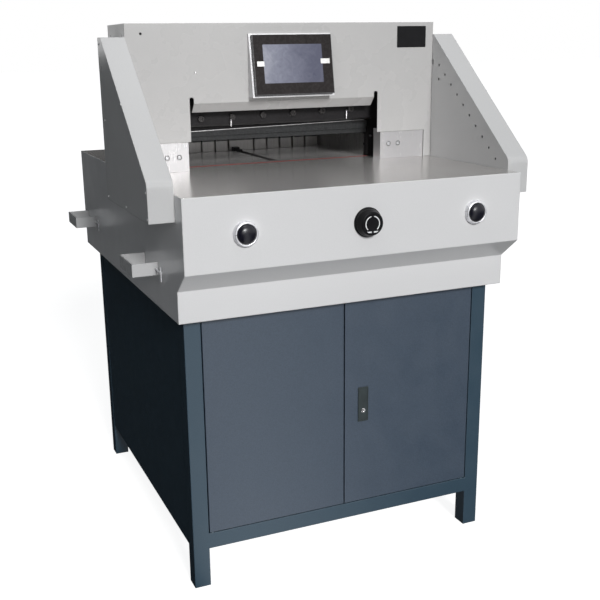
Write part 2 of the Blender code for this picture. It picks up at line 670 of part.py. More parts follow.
def door_lock(right_door, hinge_empty):
    face = STAND_FRONT - HINGE_Y
    centre_x = LOCK_X - HINGE_X
    half_w = LOCK_WIDTH / 2
    half_h = LOCK_HEIGHT / 2
    xs = (centre_x - half_w, centre_x + half_w)
    zs = (LOCK_Z - half_h, LOCK_Z + half_h)
    hole_x = (xs[0] + LOCK_RIM, xs[1] - LOCK_RIM)
    hole_z = (zs[0] + LOCK_RIM, zs[1] - LOCK_RIM)
    hole_y = (face - OVERRUN, face + OVERRUN)
    hole = mesh_from(lambda shape: add_box(shape, hole_x, hole_y, hole_z), "lock_window")
    cut(right_door, new_object("lock_window", hole, parent=hinge_empty), "lock_window")
    core_z = LOCK_Z - LOCK_CORE_DROP
    body_x = (hole_x[0] + SEAT_GAP, hole_x[1] - SEAT_GAP)
    body_z = (hole_z[0] + SEAT_GAP, hole_z[1] - SEAT_GAP)
    plate_y = (face - LOCK_PROUD - SEAT_GAP, face - SEAT_GAP)
    lock = box("lock_plate", BLACK_PLASTIC, xs, plate_y, zs, parent=hinge_empty)
    body_y = (face - LOCK_PROUD / 2, face + LOCK_BODY_DEPTH)
    body = mesh_from(lambda shape: add_box(shape, body_x, body_y, body_z), "lock_body")
    join_on(lock, new_object("lock_body", body, parent=hinge_empty))

    def build_bore(shape):
        centre = (centre_x, face + LOCK_BODY_DEPTH / 2, core_z)
        add_cylinder(shape, centre, LOCK_CORE_R + SEAT_GAP, LOCK_BODY_DEPTH * 3, axis="Y", sides=20)

    cut(lock, new_object("lock_bore", mesh_from(build_bore, "lock_bore"), parent=hinge_empty))
    core_y = (-LOCK_PROUD, DOOR_DEPTH + RUN_GAP + LOCK_CAM_THICK)

    def build_core(shape):
        length = core_y[1] - core_y[0]
        add_cylinder(shape, (0, (core_y[0] + core_y[1]) / 2, 0), LOCK_CORE_R, length, axis="Y", sides=20)

    def build_cam(shape):
        half_cam = LOCK_CAM_WIDTH / 2
        cam_y = (core_y[1] - LOCK_CAM_THICK, core_y[1] + SHEET / 2)
        add_box(shape, (-half_cam, half_cam), cam_y, (-LOCK_CAM_LENGTH, half_cam))

    at = (centre_x, face, core_z)
    joined("lock_core", CHROME, (build_core, build_cam), at, hinge_empty)


# Housing: base, side plates, bent front sheet, rear sheet and decks
def machine_base():
    reach = HALF - SHEET - SEAT_GAP
    front = BAND_SETBACK + SHEET + SEAT_GAP
    back = HOUSING_DEPTH - SHEET - SEAT_GAP
    box("base_plate", BLACK_IRON, (-reach, reach), (front, back), (BASE_Z, BASE_TOP))


def front_profile(offset):
    """The front sheet's outline in (Y, Z), from the table down, shifted inwards by offset."""
    slant = math.atan2(PANEL_BOTTOM_Z - BAND_TOP_Z, BAND_SETBACK)
    turn = math.tan((math.pi / 2 - slant) / 2) * offset
    return [
        (offset, TABLE_Z),
        (offset, PANEL_BOTTOM_Z + turn),
        (BAND_SETBACK + offset, BAND_TOP_Z + turn),
        (BAND_SETBACK + offset, BAND_BOTTOM_Z + offset),
    ]


def side_plates():
    inner = front_profile(SHEET + SEAT_GAP)
    back = HOUSING_DEPTH - SHEET - SEAT_GAP
    over_lip = BAND_BOTTOM_Z + SHEET + SEAT_GAP
    behind_lip = BAND_SETBACK + BAND_LIP + SEAT_GAP
    outline = inner[:3] + [
        (inner[3][0], over_lip),
        (behind_lip, over_lip),
        (behind_lip, BAND_BOTTOM_Z),
        (back, BAND_BOTTOM_Z),
        (back, TABLE_Z),
    ]
    for name, side in (("left_side_plate", -1), ("right_side_plate", 1)):
        plate(name, GREY_PAINT, [outline], SHEET, (side * (HALF - SHEET / 2), 0, 0), ALONG_X)


def front_panel():
    outer = front_profile(0.0)
    inner = front_profile(SHEET)
    outline = outer + [(BAND_SETBACK + BAND_LIP, BAND_BOTTOM_Z)]
    outline += [(BAND_SETBACK + BAND_LIP, BAND_BOTTOM_Z + SHEET)] + inner[::-1]
    panel = plate("front_panel", GREY_PAINT, [outline], HOUSING_WIDTH, (0, 0, 0), ALONG_X)

    def build_holes(shape):
        for place in control_places():
            centre = (place, 0, CONTROL_Z)
            add_cylinder(shape, centre, SWITCH_BODY_R + SEAT_GAP, OVERRUN * 4, axis="Y", sides=24)

    cut(panel, new_object("control_holes", mesh_from(build_holes, "control_holes")))


def rear_sheet():
    reach = HALF
    face = HOUSING_DEPTH
    panel = box("rear_panel", GREY_PAINT, (-reach, reach), (face - SHEET, face), (BAND_BOTTOM_Z, TABLE_Z))
    hole = mesh_from(
        lambda shape: add_cylinder(shape, (GLAND_X, face, GLAND_Z), GLAND_R + SEAT_GAP, OVERRUN * 4, "Y", 20),
        "gland_hole",
    )
    cut(panel, new_object("gland_hole", hole))


def machine_table():
    inside = SHEET + SEAT_GAP
    half = HALF - inside
    back = HOUSING_DEPTH - inside
    corner_y = inside + TABLE_CORNER
    outline = arc((-half + TABLE_CORNER, corner_y), TABLE_CORNER, 180, 270, 4)
    outline += arc((half - TABLE_CORNER, corner_y), TABLE_CORNER, 270, 360, 4)
    outline += [(half, back), (-half, back)]
    half_slot = DRIVE_SLOT_WIDTH / 2
    slot = [
        (-half_slot, DRIVE_SLOT_Y[0]), (half_slot, DRIVE_SLOT_Y[0]),
        (half_slot, DRIVE_SLOT_Y[1]), (-half_slot, DRIVE_SLOT_Y[1]),
    ]
    rod_slot = [
        (ROD_SLOT_X[0], ROD_SLOT_Y[0]), (ROD_SLOT_X[1], ROD_SLOT_Y[0]),
        (ROD_SLOT_X[1], ROD_SLOT_Y[1]), (ROD_SLOT_X[0], ROD_SLOT_Y[1]),
    ]
    centre_z = TABLE_Z - TABLE_THICK / 2
    table = plate("table", POLISHED_STEEL, [outline, slot, rod_slot], TABLE_THICK, (0, 0, centre_z), ALONG_Z)
    groove_x = (-STICK_HALF - SEAT_GAP, STICK_HALF + SEAT_GAP)
    groove_y = (GROOVE_Y - STICK_WIDTH / 2 - SEAT_GAP, GROOVE_Y + STICK_WIDTH / 2 + SEAT_GAP)
    groove_z = (TABLE_Z - STICK_HIGH - SEAT_GAP, TABLE_Z + OVERRUN)
    groove = mesh_from(lambda shape: add_box(shape, groove_x, groove_y, groove_z), "stick_groove")
    cut(table, new_object("stick_groove", groove))
    stick_y = (GROOVE_Y - STICK_WIDTH / 2, GROOVE_Y + STICK_WIDTH / 2)
    stick_x = (-STICK_HALF, STICK_HALF)
    box("cutting_stick", RED_PLASTIC, stick_x, stick_y, (TABLE_Z - STICK_HIGH, TABLE_Z))


# Machine frame that carries the table, the knife and the clamp
def machine_frame():
    """The bed's two walls with a low web at each end, and the portal of columns and beam on the table."""
    bed_x = (BED_X - BED_THICK, BED_X)
    bed_z = (BASE_TOP + SEAT_GAP, TABLE_UNDER - SEAT_GAP)
    crank_room = (ROD_SLOT_Y[0] - BED_THICK / 2, CRANK_FRONT + CRANK_THICK + GEARBOX_DEPTH + BED_THICK)
    web_z = (bed_z[0], BED_WEB_TOP_Z)
    web_x = (-BED_X + SHEET, BED_X - SHEET)
    builders = [
        box_builder((bed_x, BED_Y, bed_z)),
        box_builder((mirrored(bed_x), (BED_Y[0], crank_room[0]), bed_z)),
        box_builder((mirrored(bed_x), (crank_room[1], BED_Y[1]), bed_z)),
        box_builder((web_x, (BED_Y[0], BED_Y[0] + BED_THICK), web_z)),
        box_builder((web_x, (BED_Y[1] - BED_THICK, BED_Y[1]), web_z)),
    ]
    joined("bed_frame", DARK_IRON, builders)

    column_x = (COLUMN_INNER_X, COLUMN_OUTER_X)
    column_z = (TABLE_Z + SEAT_GAP, BEAM_BOTTOM_Z + OVERRUN)
    portal = joined(
        "portal_frame",
        BLACK_IRON,
        (
            box_builder(((-COLUMN_OUTER_X, COLUMN_OUTER_X), COLUMN_Y, (BEAM_BOTTOM_Z, BEAM_TOP_Z))),
            box_builder((column_x, COLUMN_Y, column_z), (mirrored(column_x), COLUMN_Y, column_z)),
        ),
    )

    def build_bores(shape):
        middle = BEAM_BOTTOM_Z + BEAM_HIGH / 2
        length = BEAM_HIGH + 2 * OVERRUN
        for place, radius in CLAMP_RODS:
            add_cylinder(shape, (place, CLAMP_DRIVE_Y, middle), radius + SEAT_GAP, length, sides=20)

    cut(portal, new_object("beam_bores", mesh_from(build_bores, "beam_bores")), "bores")


def foot_plates():
    """Bright angle plates that close the foot of each column: a front leaf and a leaf along the mouth."""
    front = HOOD_FRONT + HOOD_SHEET + SEAT_GAP
    back = front + FOOT_PLATE_BACK
    sheet = FOOT_PLATE_SHEET
    height = COLUMN_COVER_HIGH + FOOT_PLATE_OVER - SEAT_GAP
    centre = (0, 0, TABLE_Z + SEAT_GAP + height / 2)
    for name, side, (inner, outer) in (
        ("left_foot_plate", -1, LEFT_FOOT_PLATE_X), ("right_foot_plate", 1, RIGHT_FOOT_PLATE_X)
    ):
        angle = [(inner, front), (outer, front), (outer, front + sheet), (inner + sheet, front + sheet)]
        angle += [(inner + sheet, back), (inner, back)]
        outline = [(side * x, y) for x, y in angle[::side]]
        plate(name, POLISHED_STEEL, [outline], height, centre, ALONG_Z)


def side_gauge():
    """The upright plate along the right of the table that squares the stack against the knife."""
    inner = HALF - SIDE_GAUGE_ROOM
    ys = (SIDE_GAUGE_FRONT, HOUSING_DEPTH - SIDE_GAUGE_BACK_INSET)
    zs = (TABLE_Z + SEAT_GAP, TABLE_Z + SIDE_GAUGE_HIGH)
    box("right_side_gauge", POLISHED_STEEL, (inner, inner + SIDE_GAUGE_THICK), ys, zs)


# Hood in a front and a rear shell
def hood_shell(name, ys, open_back):
    """A sheet box with no floor, open towards the other half."""
    xs = (-HALF + SEAT_GAP, HALF - SEAT_GAP)
    zs = (TABLE_Z + SEAT_GAP, HOOD_TOP_Z)

    def build(shape):
        add_box(shape, xs, ys, zs)
        open_y = ys[1] if open_back else ys[0]
        gone = []
        for face in shape.faces:
            middle = face.calc_center_median()
            if abs(middle.y - open_y) < SEAT_GAP or middle.z < zs[0] + SEAT_GAP:
                gone.append(face)
        bmesh.ops.delete(shape, geom=gone, context="FACES")

    hood = new_object(name, mesh_from(build, name), GREY_PAINT)
    shell = hood.modifiers.new("sheet", "SOLIDIFY")
    shell.thickness = HOOD_SHEET
    shell.offset = -1.0
    shell.use_even_offset = True
    return hood


def hood_front():
    hood = hood_shell("hood_front", (HOOD_FRONT, HOOD_SEAM), True)
    cover = HALF - COVER_STRIP
    depth = (HOOD_FRONT - OVERRUN, HOOD_FRONT + OVERRUN)

    def build_cuts(shape):
        add_box(shape, MOUTH_X, depth, (TABLE_Z - OVERRUN, SLOT_TOP_Z))

    def build_feet(shape):
        for span in ((MOUTH_X[1] - OVERRUN, cover), (-cover, MOUTH_X[0] + OVERRUN)):
            add_box(shape, span, depth, (TABLE_Z - OVERRUN, COLUMN_COVER_Z))

    cut(hood, new_object("mouth_cut", mesh_from(build_cuts, "mouth_cut")), "mouth")
    cut(hood, new_object("foot_cuts", mesh_from(build_feet, "foot_cuts")), "feet")
    lip = [
        (HOOD_FRONT, SLOT_TOP_Z + OVERRUN), (HOOD_FRONT, LIP_BEND_Z),
        (HOOD_FRONT + LIP_BACK, LIP_BOTTOM_Z), (HOOD_FRONT + LIP_BACK + HOOD_SHEET, LIP_BOTTOM_Z),
        (HOOD_FRONT + HOOD_SHEET, LIP_BEND_Z), (HOOD_FRONT + HOOD_SHEET, SLOT_TOP_Z + OVERRUN),
    ]
    lip_mesh = outline_mesh("mouth_lip", [lip], MOUTH_WIDTH - 2 * SLOT_WIDTH)
    flap = new_object("mouth_lip", lip_mesh, None, (MOUTH_CENTRE_X, 0, 0), ALONG_X)
    join_on(hood, flap)


def hood_rear():
    hood = hood_shell("hood_rear", (HOOD_SEAM + SEAT_GAP, HOOD_BACK), False)
    half = REAR_MOUTH_WIDTH / 2
    depth = (HOOD_BACK - OVERRUN, HOOD_BACK + OVERRUN)
    height = (TABLE_Z - OVERRUN, REAR_MOUTH_TOP_Z)
    mouth = mesh_from(lambda shape: add_box(shape, (-half, half), depth, height), "rear_mouth")
    cut(hood, new_object("rear_mouth", mouth))


# Guards with the light beams
def guard_outline():
    """Side view in (Y, Z): top, sloping front, rounded knee, upright foot."""
    slope = math.atan2(GUARD_TOP_Z - GUARD_KNEE_Z, GUARD_TOP_FRONT - GUARD_KNEE_Y)
    bend = math.pi / 2 - slope
    reach = GUARD_KNEE_R * math.tan(bend / 2)
    centre = (GUARD_KNEE_Y + GUARD_KNEE_R, GUARD_KNEE_Z - reach)
    knee = arc(centre, GUARD_KNEE_R, 180, 180 - math.degrees(bend), 4)
    return [(GUARD_KNEE_Y, GUARD_BOTTOM_Z)] + knee + [
        (GUARD_TOP_FRONT, GUARD_TOP_Z),
        (GUARD_BACK, GUARD_TOP_Z),
        (GUARD_BACK, GUARD_BOTTOM_Z),
    ]


def beam_hole_places():
    steps = BEAM_HOLES - 1
    (y0, z0), (y1, z1) = BEAM_HOLE_FIRST, BEAM_HOLE_LAST
    return [(y0 + (y1 - y0) * n / steps, z0 + (z1 - z0) * n / steps) for n in range(BEAM_HOLES)]


def guard(name, side):
    inner = side * (HALF + SEAT_GAP)
    centre_x = inner + side * GUARD_THICK / 2
    outline = guard_outline()
    made = plate(name, GREY_PAINT, [outline], GUARD_THICK, (centre_x, 0, 0), ALONG_X)
    core = outline_mesh(name + "_core", [inset(outline, GUARD_SHEET)], GUARD_THICK - 2 * GUARD_SHEET)
    cut(made, new_object(name + "_core", core, None, (centre_x, 0, 0), ALONG_X), "hollow")

    def build_holes(shape):
        cable_hole = (CABLE_HOLE[0], TABLE_Z + CABLE_HOLE[1])
        for y, z in beam_hole_places() + [cable_hole]:
            add_cylinder(shape, (inner, y, z), BEAM_HOLE_R, OVERRUN * 4, axis="X", sides=12)
        slot_x = (inner - 2 * OVERRUN, inner + 2 * OVERRUN)
        add_box(shape, slot_x, CABLE_SLOT_YS, [TABLE_Z + high for high in CABLE_SLOT_HEIGHTS])

    cut(made, new_object(name + "_holes", mesh_from(build_holes, name + "_holes")), "beam_holes")


def inset(points, distance):
    """Moves each side of a closed outline inwards by distance. The outline runs clockwise."""
    moved = []
    count = len(points)
    for index in range(count):
        here = Vector(points[index])
        before = (here - Vector(points[index - 1])).normalized()
        after = (Vector(points[(index + 1) % count]) - here).normalized()
        normal_a = Vector((before.y, -before.x))
        normal_b = Vector((after.y, -after.x))
        share = distance / (1.0 + normal_a.dot(normal_b))
        moved.append(tuple(here + (normal_a + normal_b) * share))
    return moved


def light_bar(name, side):
    """The bar of light beams in a guard, lying along its row of holes against the inner sheet."""
    (y0, z0), (y1, z1) = BEAM_HOLE_FIRST, BEAM_HOLE_LAST
    length = math.hypot(y1 - y0, z1 - z0) + 2 * BEAM_BAR_OVER
    half = BEAM_BAR / 2
    middle_x = side * (HALF + 2 * SEAT_GAP + GUARD_SHEET + half)
    centre = (middle_x, (y0 + y1) / 2, (z0 + z1) / 2)
    bar = mesh_from(box_builder(((-half, half), (-length / 2, length / 2), (-half, half))), name)
    new_object(name, bar, BLACK_PLASTIC, centre, (math.atan2(z0 - z1, y0 - y1), 0.0, 0.0))


# Controls
def control_places():
    return (BUTTON_CENTRE_X - BUTTON_REACH_X, CONTROL_CENTRE_X, BUTTON_CENTRE_X + BUTTON_REACH_X)


def controls():
    front = -SEAT_GAP
    ring_inner = BUTTON_R + RUN_GAP
    stem_bore = BUTTON_STEM_R + RUN_GAP
    ring_floor = BUTTON_RING_HIGH - BUTTON_TRAVEL - SHEET
    for name, place in (("left", control_places()[0]), ("right", control_places()[2])):
        at = (place, front, CONTROL_Z)
        ring = [
            (ring_inner, BUTTON_RING_HIGH), (BUTTON_RING_R - SHEET, BUTTON_RING_HIGH),
            (BUTTON_RING_R, BUTTON_RING_HIGH - SHEET), (BUTTON_RING_R, 0.0),
            (SWITCH_BODY_R, 0.0), (SWITCH_BODY_R, -SWITCH_BODY_DEPTH),
            (stem_bore, -SWITCH_BODY_DEPTH), (stem_bore, SHEET / 2), (ring_inner, SHEET / 2),
        ]
        turned(name + "_button_bezel", CHROME, ring, at, "-Y", 28)
        dome_base = BUTTON_RING_HIGH - SHEET
        dome = [(x, dome_base + y * BUTTON_DOME_HIGH / BUTTON_R) for y, x in arc((0, 0), BUTTON_R, 0, 90, 5)]
        under = dome_base - ring_floor + SHEET / 2 + SEAT_GAP
        button = dome + [(BUTTON_R, under), (BUTTON_STEM_R, under)]
        button += [(BUTTON_STEM_R, -SWITCH_BODY_DEPTH / 2), (0.0, -SWITCH_BODY_DEPTH / 2)]
        turned(name + "_cut_button", BLACK_PLASTIC, button, at, "-Y", 28)
    at = (CONTROL_CENTRE_X, front, CONTROL_Z)
    knob_bore = KNOB_STEM_R + RUN_GAP
    base = [
        (knob_bore, KNOB_BASE_HIGH), (KNOB_BASE_R - SHEET, KNOB_BASE_HIGH),
        (KNOB_BASE_R, KNOB_BASE_HIGH - SHEET),
        (KNOB_BASE_R, 0.0), (SWITCH_BODY_R, 0.0), (SWITCH_BODY_R, -SWITCH_BODY_DEPTH),
        (knob_bore, -SWITCH_BODY_DEPTH),
    ]
    turned("knob_base", BLACK_PLASTIC, base, at, "-Y", 28)
    foot = KNOB_BASE_HIGH + RUN_GAP
    top = KNOB_BASE_HIGH + KNOB_HIGH - SEAT_GAP
    knob = [
        (0.0, top), (KNOB_R - SHEET, top), (KNOB_R, top - SHEET), (KNOB_ROOT_R, foot + 2 * SHEET),
        (KNOB_ROOT_R, foot), (KNOB_STEM_R, foot), (KNOB_STEM_R, -SWITCH_BODY_DEPTH / 2),
        (0.0, -SWITCH_BODY_DEPTH / 2),
    ]
    turned("speed_knob", BLACK_PLASTIC, knob, at, "-Y", 28)


# Brackets on the side plates and their locking pins
def bracket_places():
    for side, side_name in ((-1, "left"), (1, "right")):
        for front, end_name in zip(BRACKET_FRONT_YS, ("front", "rear")):
            yield side, front, side_name + "_" + end_name


def side_brackets():
    """Flat strip bent to a U, its two arms standing on the side plate."""
    middle_z = BRACKET_Z + BRACKET_HIGH / 2
    for side, front, name in bracket_places():
        wall = side * (HALF + SEAT_GAP)
        outer = side * (HALF + BRACKET_OUT)
        inner = outer - side * BRACKET_STRIP
        back = front + BRACKET_LENGTH
        outline = [
            (wall, front), (outer, front), (outer, back), (wall, back),
            (wall, back - BRACKET_STRIP), (inner, back - BRACKET_STRIP),
            (inner, front + BRACKET_STRIP), (wall, front + BRACKET_STRIP),
        ]
        bracket = plate(name + "_bracket", GREY_PAINT, [outline], BRACKET_HIGH, (0, 0, middle_z), ALONG_Z)
        centre = (side * (HALF + BRACKET_PIN_IN), front, middle_z)
        bore = cylinder_builder(centre, BRACKET_PIN_R + SEAT_GAP, OVERRUN * 4, "Y", 12)
        cut(bracket, new_object(name + "_bore", mesh_from(bore, name + "_bore")))
        locking_pin(name + "_locking_pin", centre)


def locking_pin(name, centre):
    """A pull pin along Y through the bracket's front arm, with a thin upright handle at its front end."""
    tip = -BRACKET_PIN_REACH
    tail = BRACKET_PIN_TAIL
    pin = cylinder_builder((0, (tip + tail) / 2, 0), BRACKET_PIN_R, tail - tip, "Y", 12)
    handle_at = (0, tip + BRACKET_PIN_R, -PIN_HANDLE_DROP)
    handle = cylinder_builder(handle_at, PIN_HANDLE_R, PIN_HANDLE_LENGTH, "Z", 8)
    joined(name, CHROME, (pin, handle), centre)


# Display
def display():
    """A wedge box on the hood; the touch panel is set into its tilted face and stands proud of it."""
    top = DISPLAY_TOP_Z
    bottom = top - DISPLAY_HEIGHT * math.cos(DISPLAY_TILT)
    back = HOOD_FRONT - SEAT_GAP
    wedge = [
        (back, top), (back - DISPLAY_TOP_OUT, top), (back - DISPLAY_BOTTOM_OUT, bottom), (back, bottom),
    ]
    case = plate("display_case", CAST_ALUMINIUM, [wedge], DISPLAY_WIDTH, (0, 0, 0), ALONG_X)
    middle_z = (top + bottom) / 2
    middle_y = back - (DISPLAY_TOP_OUT + DISPLAY_BOTTOM_OUT) / 2
    half_w = DISPLAY_WIDTH / 2 - DISPLAY_RIM
    half_h = DISPLAY_HEIGHT / 2 - DISPLAY_RIM
    tilt = (-DISPLAY_TILT, 0.0, 0.0)
    pocket_y = (-OVERRUN, SCREEN_SET_IN)
    pocket = mesh_from(
        lambda shape: add_box(shape, (-half_w, half_w), pocket_y, (-half_h, half_h)), "display_pocket"
    )
    cut(case, new_object("display_pocket", pocket, None, (0, middle_y, middle_z), tilt))
    gap = SEAT_GAP
    glass_y = (-SCREEN_PROUD, SCREEN_SET_IN - gap)
    glass = mesh_from(
        lambda shape: add_box(shape, (-half_w + gap, half_w - gap), glass_y, (-half_h + gap, half_h - gap)),
        "display_screen",
    )
    new_object("display_screen", glass, BLACK_GLASS, (0, middle_y, middle_z), tilt)


# Knife: carrier, blade, bolts, slide blocks, pull rod, crank and drive
def tilted_slot(centre_x, travel, width):
    """A round-ended outline in (X, Z) round a slide block, stretched along the knife's path by travel."""
    way = Vector((math.sin(KNIFE_TILT), math.cos(KNIFE_TILT)))
    lower = Vector((centre_x, BLOCK_Z)) - way * (BLOCK_LENGTH - BLOCK_WIDTH) / 2
    upper = Vector((centre_x, BLOCK_Z)) + way * ((BLOCK_LENGTH - BLOCK_WIDTH) / 2 + travel)
    turn = -math.degrees(KNIFE_TILT)
    return arc(lower, width / 2, 180 + turn, 360 + turn, 8) + arc(upper, width / 2, turn, 180 + turn, 8)


def knife():
    half = CARRIER_HALF
    outline = [(-half, CARRIER_Z[0]), (half, CARRIER_Z[0]), (half, CARRIER_Z[1]), (-half, CARRIER_Z[1])]
    outlines = [outline, circle((ROD_X, ROD_TOP_Z), ROD_PIN_R + SEAT_GAP)]
    outlines += [tilted_slot(place, KNIFE_STROKE, BLOCK_WIDTH + 2 * RUN_GAP) for place in BLOCK_XS]
    middle_y = (CARRIER_Y[0] + CARRIER_Y[1]) / 2
    plate("knife_carrier", BLACK_IRON, outlines, CARRIER_Y[1] - CARRIER_Y[0], (0, middle_y, 0), ALONG_Y)

    front = CARRIER_Y[0] + RUN_GAP
    back = COLUMN_Y[0] - SEAT_GAP
    for name, place in zip(("left_slide_block", "right_slide_block"), BLOCK_XS):
        block = tilted_slot(place, 0.0, BLOCK_WIDTH)
        plate(name, BRONZE, [block], back - front, (0, (front + back) / 2, 0), ALONG_Y)

    top = BLADE_EDGE_Z + BLADE_HIGH
    bevel_top = BLADE_EDGE_Z + BLADE_BEVEL_HIGH
    profile = [
        (BLADE_Y[0], top), (BLADE_Y[0], bevel_top), (BLADE_Y[1] - BLADE_EDGE_LAND, BLADE_EDGE_Z),
        (BLADE_Y[1], BLADE_EDGE_Z), (BLADE_Y[1], top),
    ]
    plate("knife_blade", TOOL_STEEL, [profile], 2 * BLADE_HALF, (0, 0, 0), ALONG_X)


def knife_drive():
    rod_y = (CARRIER_Y[0] - SEAT_GAP - ROD_THICK, CARRIER_Y[0] - SEAT_GAP)
    half = ROD_WIDTH / 2
    top_eye = arc((ROD_X, ROD_TOP_Z), ROD_EYE_R, 0, 180, 8)
    low_eye = arc((ROD_X, ROD_BOTTOM_Z), ROD_EYE_R, 180, 360, 8)
    neck = ROD_EYE_R
    outline = top_eye + [(ROD_X - half, ROD_TOP_Z - neck), (ROD_X - half, ROD_BOTTOM_Z + neck)]
    outline += low_eye + [(ROD_X + half, ROD_BOTTOM_Z + neck), (ROD_X + half, ROD_TOP_Z - neck)]
    bore = circle((ROD_X, ROD_BOTTOM_Z), CRANK_PIN_R + RUN_GAP, 16)
    middle = (rod_y[0] + rod_y[1]) / 2
    rod = plate("pull_rod", TOOL_STEEL, [outline, bore], ROD_THICK, (0, middle, 0), ALONG_Y)
    pin_back = CARRIER_Y[1] - SEAT_GAP
    pin_front = rod_y[0] - OVERRUN
    pin = mesh_from(
        lambda shape: add_cylinder(
            shape, (ROD_X, (pin_back + pin_front) / 2, ROD_TOP_Z), ROD_PIN_R, pin_back - pin_front, "Y", 20
        ),
        "rod_pin",
    )
    join_on(rod, new_object("rod_pin", pin))

    disc_front = CRANK_FRONT
    disc_back = disc_front + CRANK_THICK
    pin_x = ROD_X - CRANK_X
    pin_z = ROD_BOTTOM_Z - CRANK_Z

    def build_disc(shape):
        add_cylinder(shape, (0, CRANK_THICK / 2, 0), CRANK_R, CRANK_THICK, axis="Y", sides=28)

    def build_pin(shape):
        middle = (OVERRUN - CRANK_PIN_HIGH) / 2
        length = CRANK_PIN_HIGH + OVERRUN
        add_cylinder(shape, (pin_x, middle, pin_z), CRANK_PIN_R, length, axis="Y", sides=16)

    def build_shaft(shape):
        shaft = GEARBOX_DEPTH / 3
        add_cylinder(shape, (0, CRANK_THICK + shaft / 2 - SHEET, 0), CRANK_PIN_R, shaft, axis="Y", sides=16)

    joined("crank_disc", TOOL_STEEL, (build_disc, build_pin, build_shaft), (CRANK_X, disc_front, CRANK_Z))

    box_y = (disc_back + RUN_GAP, disc_back + RUN_GAP + GEARBOX_DEPTH)
    box_x = (CRANK_X - GEARBOX_WIDTH / 2, CRANK_X + GEARBOX_WIDTH / 2)
    box_z = (BASE_TOP + SEAT_GAP, BASE_TOP + SEAT_GAP + GEARBOX_HIGH)
    motor_z = box_z[0] + KNIFE_MOTOR_R
    motor_x = box_x[1] + KNIFE_MOTOR_LENGTH / 2
    motor_at = (motor_x - OVERRUN, (box_y[0] + box_y[1]) / 2, motor_z)
    motor = cylinder_builder(motor_at, KNIFE_MOTOR_R, KNIFE_MOTOR_LENGTH, "X", 28)
    gearmotor = joined("knife_gearmotor", MOTOR_PAINT, (box_builder((box_x, box_y, box_z)), motor))
    shaft = (CRANK_X, box_y[0], CRANK_Z)
    bore = cylinder_builder(shaft, CRANK_PIN_R + SEAT_GAP, 2 * GEARBOX_BORE_DEEP, "Y", 16)
    cut(gearmotor, new_object("gearbox_bore", mesh_from(bore, "gearbox_bore")))


# Clamp: bar, lift rods (two guide rods and the lifting screw in one yoke) and its hollow-shaft motor
def clamp():
    low, high = CLAMP_Z
    front, back = CLAMP_Y
    face = high - CLAMP_FACE_HIGH
    profile = [
        (front, high), (front, face), (front + CLAMP_STEP, face),
        (front + CLAMP_STEP, low), (back, low), (back, high),
    ]
    plate("clamp_bar", DARK_IRON, [profile], 2 * CLAMP_HALF, (0, 0, 0), ALONG_X)
    start = high + SEAT_GAP
    rod_end = YOKE_Z[0] + OVERRUN
    rods = [
        cylinder_builder((place, CLAMP_DRIVE_Y, (start + rod_end) / 2), radius, rod_end - start)
        for place, radius in CLAMP_RODS
    ]
    reach = CLAMP_ROD_X + CLAMP_ROD_R * 2
    yoke_y = (CLAMP_DRIVE_Y - YOKE_DEPTH / 2, CLAMP_DRIVE_Y + YOKE_DEPTH / 2)
    joined("clamp_lift_rods", CHROME, (box_builder(((-reach, reach), yoke_y, YOKE_Z)), *rods))

    foot = BEAM_TOP_Z + SEAT_GAP
    nut_bore = CLAMP_NUT_R + RUN_GAP
    half = CLAMP_MOTOR / 2
    square = [(-half, -half), (half, -half), (half, half), (-half, half)]
    middle = foot + CLAMP_MOTOR_HIGH / 2
    plate(
        "clamp_motor", MOTOR_PAINT, [square, circle((0, 0), nut_bore, 24)], CLAMP_MOTOR_HIGH,
        (0, CLAMP_DRIVE_Y, middle), ALONG_Z,
    )
    nut = [circle((0, 0), CLAMP_NUT_R, 24), circle((0, 0), SCREW_R + RUN_GAP, 24)]
    plate("clamp_nut", BRONZE, nut, CLAMP_MOTOR_HIGH, (0, CLAMP_DRIVE_Y, middle), ALONG_Z)


# Backgauge: comb, carriage under the table, lead screw, guide rods, hangers and motor
def comb_outline():
    """Plan view of the comb in (X, Y): teeth forward, a solid back, gaps at the tooth pitch."""
    front = GAUGE_Y
    root = front + GAUGE_TOOTH_DEPTH
    back = root + GAUGE_BACK_THICK
    gap = TOOTH_GAP / 2
    gaps = []
    for side in (-1, 1):
        for index in range(TEETH_A_SIDE):
            gaps.append(TOOTH_SHIFT + side * (CENTRE_TOOTH / 2 + TOOTH_PITCH * index))
    points = [(-GAUGE_HALF, front)]
    for centre in sorted(gaps):
        points += [(centre - gap, front), (centre - gap, root), (centre + gap, root), (centre + gap, front)]
    return points + [(GAUGE_HALF, front), (GAUGE_HALF, back), (-GAUGE_HALF, back)]


